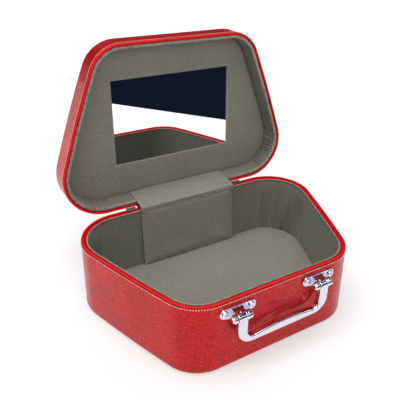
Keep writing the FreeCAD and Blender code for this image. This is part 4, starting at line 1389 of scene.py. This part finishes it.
# ---------------------------------------------------------------- hinge of cloth and leather
@dataclass
class SoftHinge:
    """The suede flap inside the hinge and the leather strip outside it, shaped round the hinge for the open
    lid.
    """

    sizes: CaseSizes
    flap_thick: float = 1.1 * MM
    strip_thick: float = 1.0 * MM

    def lid_place(self, inset: float, above: float) -> tuple[float, float]:
        """Y and Z, lid open, of a point of the lid's hinge wall this far above the parting plane."""
        shut = np.array([0.0, self.sizes.depth / 2 - inset, self.sizes.parting + above])
        placed = self.sizes.opened(shut)
        return float(placed[1]), float(placed[2])

    def band(
        self, name: str, corners: Sequence[tuple], half: float, seed: int, crease: float
    ) -> bpy.types.Object:
        """A band with this closed section in Y and Z, from -half to half along X, creased across.

        The creases are ripples drawn out along X, and they fade at the band's two edges.
        """
        section = rounded_section(corners, 0.8 * MM, 0.4 * MM)
        x = edge_spacing(90) * half
        pinch = 1.0 - 0.35 * np.exp(-(half - np.abs(x)) / (0.7 * MM))
        grid = np.empty((len(x), len(section), 3))
        grid[..., 0] = x[:, None]
        grid[..., 1:] = section[None]
        fold = ripple(grid * np.array([0.14, 1.0, 1.0]), 6.5 * MM, seed)
        normals = normals_of(grid, False)
        grid = grid + (crease * fold * ease(half - np.abs(x), 0.0, 5.0 * MM)[:, None])[..., None] * normals
        grid = grid - ((1.0 - pinch)[:, None] * 0.5 * self.flap_thick)[..., None] * normals
        return tube_object(name, grid, x + half, False)

    def build(self) -> None:
        """Make the flap and the strip."""
        self.make_flap()
        self.make_strip()

    def make_flap(self) -> None:
        """Suede flap: up the stay panel's face, over to the lid and along its lining to the panel."""
        panel_low, panel_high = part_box("stay_panel")
        lid_flap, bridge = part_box("stay_lid_flap"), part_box("stay_bridge")
        half = (panel_high.x - panel_low.x) / 2 + 0.3 * MM
        front = bridge[0].y - 1.3 * MM
        thick = self.flap_thick
        lining = self.sizes.lid_inset + self.sizes.wall
        near_y, near_z = self.lid_place(lining + thick, 3.4 * MM)
        far_y, far_z = lid_flap[1].y - 0.4 * MM, near_z + 0.2 * MM
        corners = [
            (front + thick, panel_high.z - 6.0 * MM, 0.3 * MM),
            (front - 0.2 * MM, panel_high.z - 6.0 * MM, 0.3 * MM),
            (front, panel_high.z + 1.1 * MM, 1.6 * MM),
            (near_y - 0.5 * MM, near_z + 0.3 * MM, 5.0 * MM),
            (far_y, far_z, 0.45 * MM),
            (far_y, far_z - thick, 0.45 * MM),
            (near_y + 0.6 * MM, near_z - thick, 3.0 * MM),
            (front + thick, panel_high.z + 0.3 * MM, 0.6 * MM),
        ]
        piece = self.band("hinge_suede_flap", corners, half, 91, 0.16 * MM)
        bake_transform(piece)
        # The flap takes the paler copy of the suede, which is painted light.
        dress_piece(piece, FinishKind.STAY_SUEDE, ["stay_bridge", "stay_lid_flap"])

    def make_strip(self) -> None:
        """Leather strip: up the base's hinge wall, round the hinge line and on to the lid's."""
        low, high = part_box("hinge_strip")
        half = (high.x - low.x) / 2
        thick, wall = self.strip_thick, self.sizes.depth / 2 + 0.02 * MM
        bend_z = self.sizes.hinge_z - 1.7 * MM
        lid_y, lid_z = self.lid_place(self.sizes.lid_inset, 1.2 * MM)
        end_y, end_z = self.lid_place(self.sizes.lid_inset, 15.8 * MM)
        corners = [
            (wall, low.z, 0.4 * MM),
            (wall + thick, low.z, 0.4 * MM),
            (wall + thick, bend_z - thick, 1.6 * MM),
            (lid_y + thick, lid_z - thick, 2.4 * MM),
            (end_y, end_z - thick, 0.4 * MM),
            (end_y, end_z - 0.02 * MM, 0.4 * MM),
            (lid_y, lid_z - 0.02 * MM, 1.2 * MM),
            (wall, bend_z, 0.8 * MM),
        ]
        piece = self.band("hinge_leather_strip", corners, half, 95, 0.03 * MM)
        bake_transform(piece)
        run = (bend_z - low.z) + math.hypot(lid_y - wall, lid_z - bend_z) + (end_y - lid_y)
        dress_piece(piece, FinishKind.LEATHER, ["hinge_strip"])
        self.sew("base", (wall + thick, low.z + 2.0 * MM), (1.0, 0.0), half)
        self.sew("lid", (end_y - 2.0 * MM, end_z - thick), (0.0, -1.0), half)

    def sew(self, body: str, place: tuple[float, float], out: tuple[float, float], half: float) -> None:
        """A straight row of stitches along X that holds the strip to one body."""
        row = StitchRow()
        x = np.arange(-half + 2.0 * MM, half - 1.5 * MM, row.pitch)
        places = np.stack([x, np.full(len(x), place[0]), np.full(len(x), place[1])], axis=1)
        outward = np.tile([0.0, *out], (len(x), 1))
        onward = np.tile([1.0, 0.0, 0.0], (len(x), 1))
        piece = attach(row.piece(f"hinge_strip_stitches_{body}", places, onward, outward), body)
        dress_piece(piece, FinishKind.THREAD)


# ---------------------------------------------------------------- carried-over nodes
class CarriedOver:
    """Nodes whose own shape is right: metalwork, mirror, boards and foam."""

    FINISHES: dict[FinishKind, tuple[str, ...]] = {
        FinishKind.CHROME: (
            "carrying_handle",
            "left_handle_bracket",
            "right_handle_bracket",
            "left_pivot_pin",
            "right_pivot_pin",
            "bracket_screws",
        ),
        FinishKind.ZIP_METAL: (
            "left_zip_slider",
            "right_zip_slider",
            "left_pull_tab",
            "right_pull_tab",
            "base_zip_stops",
            "lid_zip_stops",
        ),
        FinishKind.STEEL: ("bracket_nuts", "left_backing_plate", "right_backing_plate"),
        FinishKind.MIRROR: ("mirror_glass",),
        FinishKind.BOARD: (
            "base_side_board",
            "base_bottom_board",
            "lid_side_board",
            "lid_top_board",
            "mirror_spacer",
        ),
        FinishKind.FOAM: ("lid_top_pad",),
    }

    def build(self) -> None:
        """Dress every carried-over node."""
        for kind, nodes in self.FINISHES.items():
            for node in nodes:
                dress_node(node, kind)


# ---------------------------------------------------------------- studio
@dataclass
class Studio:
    """Pale floor, soft lights, cards that only gloss can see, and the camera."""

    azimuth: float = math.radians(-32.4)
    elevation: float = math.radians(24.13)
    distance: float = 500.86 * MM
    target_height: float = 162.37 * MM
    roll: float = math.radians(1.75)
    lens: float = 47.77
    shift: tuple[float, float] = (-0.0734, -0.1174)
    floor_radius: float = 9.0
    room: Colour = (0.006, 0.009, 0.020)
    card_turn: float = math.radians(-33.7)
    card_distance: float = 390.6 * MM

    def build(self) -> None:
        """Make floor, light, cards and camera."""
        self.make_world()
        self.make_floor()
        self.make_dark_card()
        self.make_dark_wall()
        self.make_light("top", (-0.30, -0.15, 1.7), 1.2, 27.0)
        self.make_light("front", (-0.20, -1.25, 0.95), 0.7, 7.5)
        self.make_light("left", (-1.3, 0.1, 1.0), 0.6, 4.5)
        self.make_camera()

    def make_world(self) -> None:
        """White surroundings, which gloss sees a little cooler."""
        world = bpy.data.worlds.new("white_studio")
        world.use_nodes = True
        nodes, links = world.node_tree.nodes, world.node_tree.links
        white = nodes["Background"]
        white.inputs["Color"].default_value = (1.0, 1.0, 1.0, 1.0)
        white.inputs["Strength"].default_value = 0.22
        shown = nodes.new("ShaderNodeBackground")
        shown.inputs["Color"].default_value = (1.0, 1.0, 1.0, 1.0)
        room = nodes.new("ShaderNodeBackground")
        room.inputs["Color"].default_value = (0.85, 0.88, 0.98, 1.0)
        ray = nodes.new("ShaderNodeLightPath")
        glossy, seen = nodes.new("ShaderNodeMixShader"), nodes.new("ShaderNodeMixShader")
        links.new(ray.outputs["Is Glossy Ray"], glossy.inputs[0])
        links.new(white.outputs[0], glossy.inputs[1])
        links.new(room.outputs[0], glossy.inputs[2])
        links.new(ray.outputs["Is Camera Ray"], seen.inputs[0])
        links.new(glossy.outputs[0], seen.inputs[1])
        links.new(shown.outputs[0], seen.inputs[2])
        links.new(seen.outputs[0], nodes["World Output"].inputs["Surface"])
        bpy.context.scene.world = world
        bpy.context.scene.view_settings.view_transform = "Standard"

    def make_floor(self) -> None:
        """A wide pale floor, a disc of rings about the case."""
        radii = np.concatenate([[0.02], np.geomspace(0.3, self.floor_radius, 8)])
        turn = np.linspace(0.0, 2.0 * math.pi, 64, endpoint=False)
        across = radii[:, None]
        flat = np.zeros((len(radii), len(turn)))
        upper = np.stack([across * np.cos(turn), across * np.sin(turn), flat], -1)
        lower = upper[::-1] - np.array([0.0, 0.0, 20.0 * MM])
        grid = np.concatenate([upper, lower]).transpose(1, 0, 2) - np.array([0.0, 0.0, 0.05 * MM])
        floor = tube_object("studio_floor", grid, np.append(turn, 2.0 * math.pi), True)
        tree = ShaderTree("pale_floor")
        place = tree.place()
        speck = tree.noise(place, 4.0 * MM, 2.0)
        distance = tree.node("ShaderNodeVectorMath", {"operation": "LENGTH"}, {0: place}, "Value")
        tree.shade(
            Base_Color=tree.mix(speck, (0.40, 0.40, 0.40), (0.43, 0.43, 0.43)),
            Roughness=0.95,
            Specular_IOR_Level=0.0,
            Emission_Color=tree.mix(tree.step(distance, 0.25, 1.3), (0.57, 0.57, 0.57), (1.0, 1.0, 1.0)),
            Emission_Strength=1.0,
        )
        floor.data.materials.append(tree.material)

    def make_dark_wall(self) -> None:
        """The room beyond the sweep: dark rings along the horizon and overhead that only gloss sees."""
        turn = np.linspace(0.0, 2.0 * math.pi, 64, endpoint=False)
        for name, inner, low, outer, high in (
            ("studio_dark_wall", 6.0, -0.2, 6.1, 3.3),
            ("studio_dark_band", 1.9, 4.0, 3.3, 4.1),
        ):
            section = np.array([[inner, low], [inner, high], [outer, high], [outer, low]])
            radii, height = section[:, :1], np.broadcast_to(section[:, 1:], (4, 64))
            grid = np.stack([radii * np.cos(turn), radii * np.sin(turn), height], -1).transpose(1, 0, 2)
            self.darken(tube_object(name, grid, np.append(turn, 2.0 * math.pi), True))

    def make_dark_card(self) -> None:
        """The end of the white sweep: a dark sheet that only gloss and the mirror see."""
        across = np.array([math.cos(self.card_turn), math.sin(self.card_turn), 0.0])
        along = np.array([-across[1], across[0], 0.0])
        near, far, half = self.card_distance, self.card_distance + 4.0, 4.0
        edges = np.array([[near, -half], [near, half], [far, half], [far, -half]])
        corners = edges[:, :1] * across + edges[:, 1:] * along + np.array([0.0, 0.0, 0.6 * MM])
        upper = corners[[0, 1, 3, 2]].reshape(2, 2, 3)
        self.darken(slab_object("studio_dark_card", upper, upper - np.array([0.0, 0.0, 0.2 * MM])))

    def darken(self, card: bpy.types.Object) -> None:
        """Give a card the dark room's colour and hide it from all but gloss."""
        tree = ShaderTree("dark_room_" + card.name)
        tree.shade(Base_Color=(0.0, 0.0, 0.0), Roughness=1.0, Specular_IOR_Level=0.0)
        tree.shade(Emission_Color=self.room, Emission_Strength=1.0)
        card.data.materials.append(tree.material)
        card.visible_camera = card.visible_diffuse = card.visible_shadow = False

    def make_light(self, name: str, place: Colour, size: float, power: float) -> None:
        """A square soft light aimed at the middle of the case."""
        data = bpy.data.lights.new(name, "AREA")
        data.size = size
        data.energy = power
        light = bpy.data.objects.new(name, data)
        light.location = place
        light.rotation_mode = "QUATERNION"
        light.rotation_quaternion = (Vector((0.0, 0.0, 0.08)) - Vector(place)).to_track_quat("-Z", "Y")
        bpy.context.scene.collection.objects.link(light)

    def make_camera(self) -> None:
        """The camera, level but for a slight roll about its own axis."""
        data = bpy.data.cameras.new("camera")
        data.lens = self.lens
        data.shift_x, data.shift_y = self.shift
        data.clip_start, data.clip_end = 0.01, 40.0
        camera = bpy.data.objects.new("camera", data)
        flat = math.cos(self.elevation)
        side, front = math.sin(self.azimuth) * flat, -math.cos(self.azimuth) * flat
        back = Vector((side, front, math.sin(self.elevation)))
        camera.location = Vector((0.0, 0.0, self.target_height)) + back * self.distance
        camera.rotation_mode = "QUATERNION"
        camera.rotation_quaternion = (-back).to_track_quat("-Z", "Y") @ Quaternion((0.0, 0.0, 1.0), self.roll)
        bpy.context.scene.collection.objects.link(camera)
        bpy.context.scene.camera = camera


def main() -> None:
    """Build the case from the base up, then the studio round it."""
    logging.basicConfig(level=logging.INFO, format="%(name)s: %(message)s")
    sizes = CaseSizes.from_frame()
    shared = (sizes.width, sizes.depth, sizes.front_flat, sizes.bow_radius)
    Base(sizes, Outline(*shared, sizes.base_radii), "base", 0.0, 1.0).build()
    Lid(sizes, Outline(*shared, sizes.lid_radii), "lid", sizes.lid_inset, -1.0).build()
    SoftHinge(sizes).build()
    CarriedOver().build()
    Studio().build()


if __name__ == "__main__":
    main()
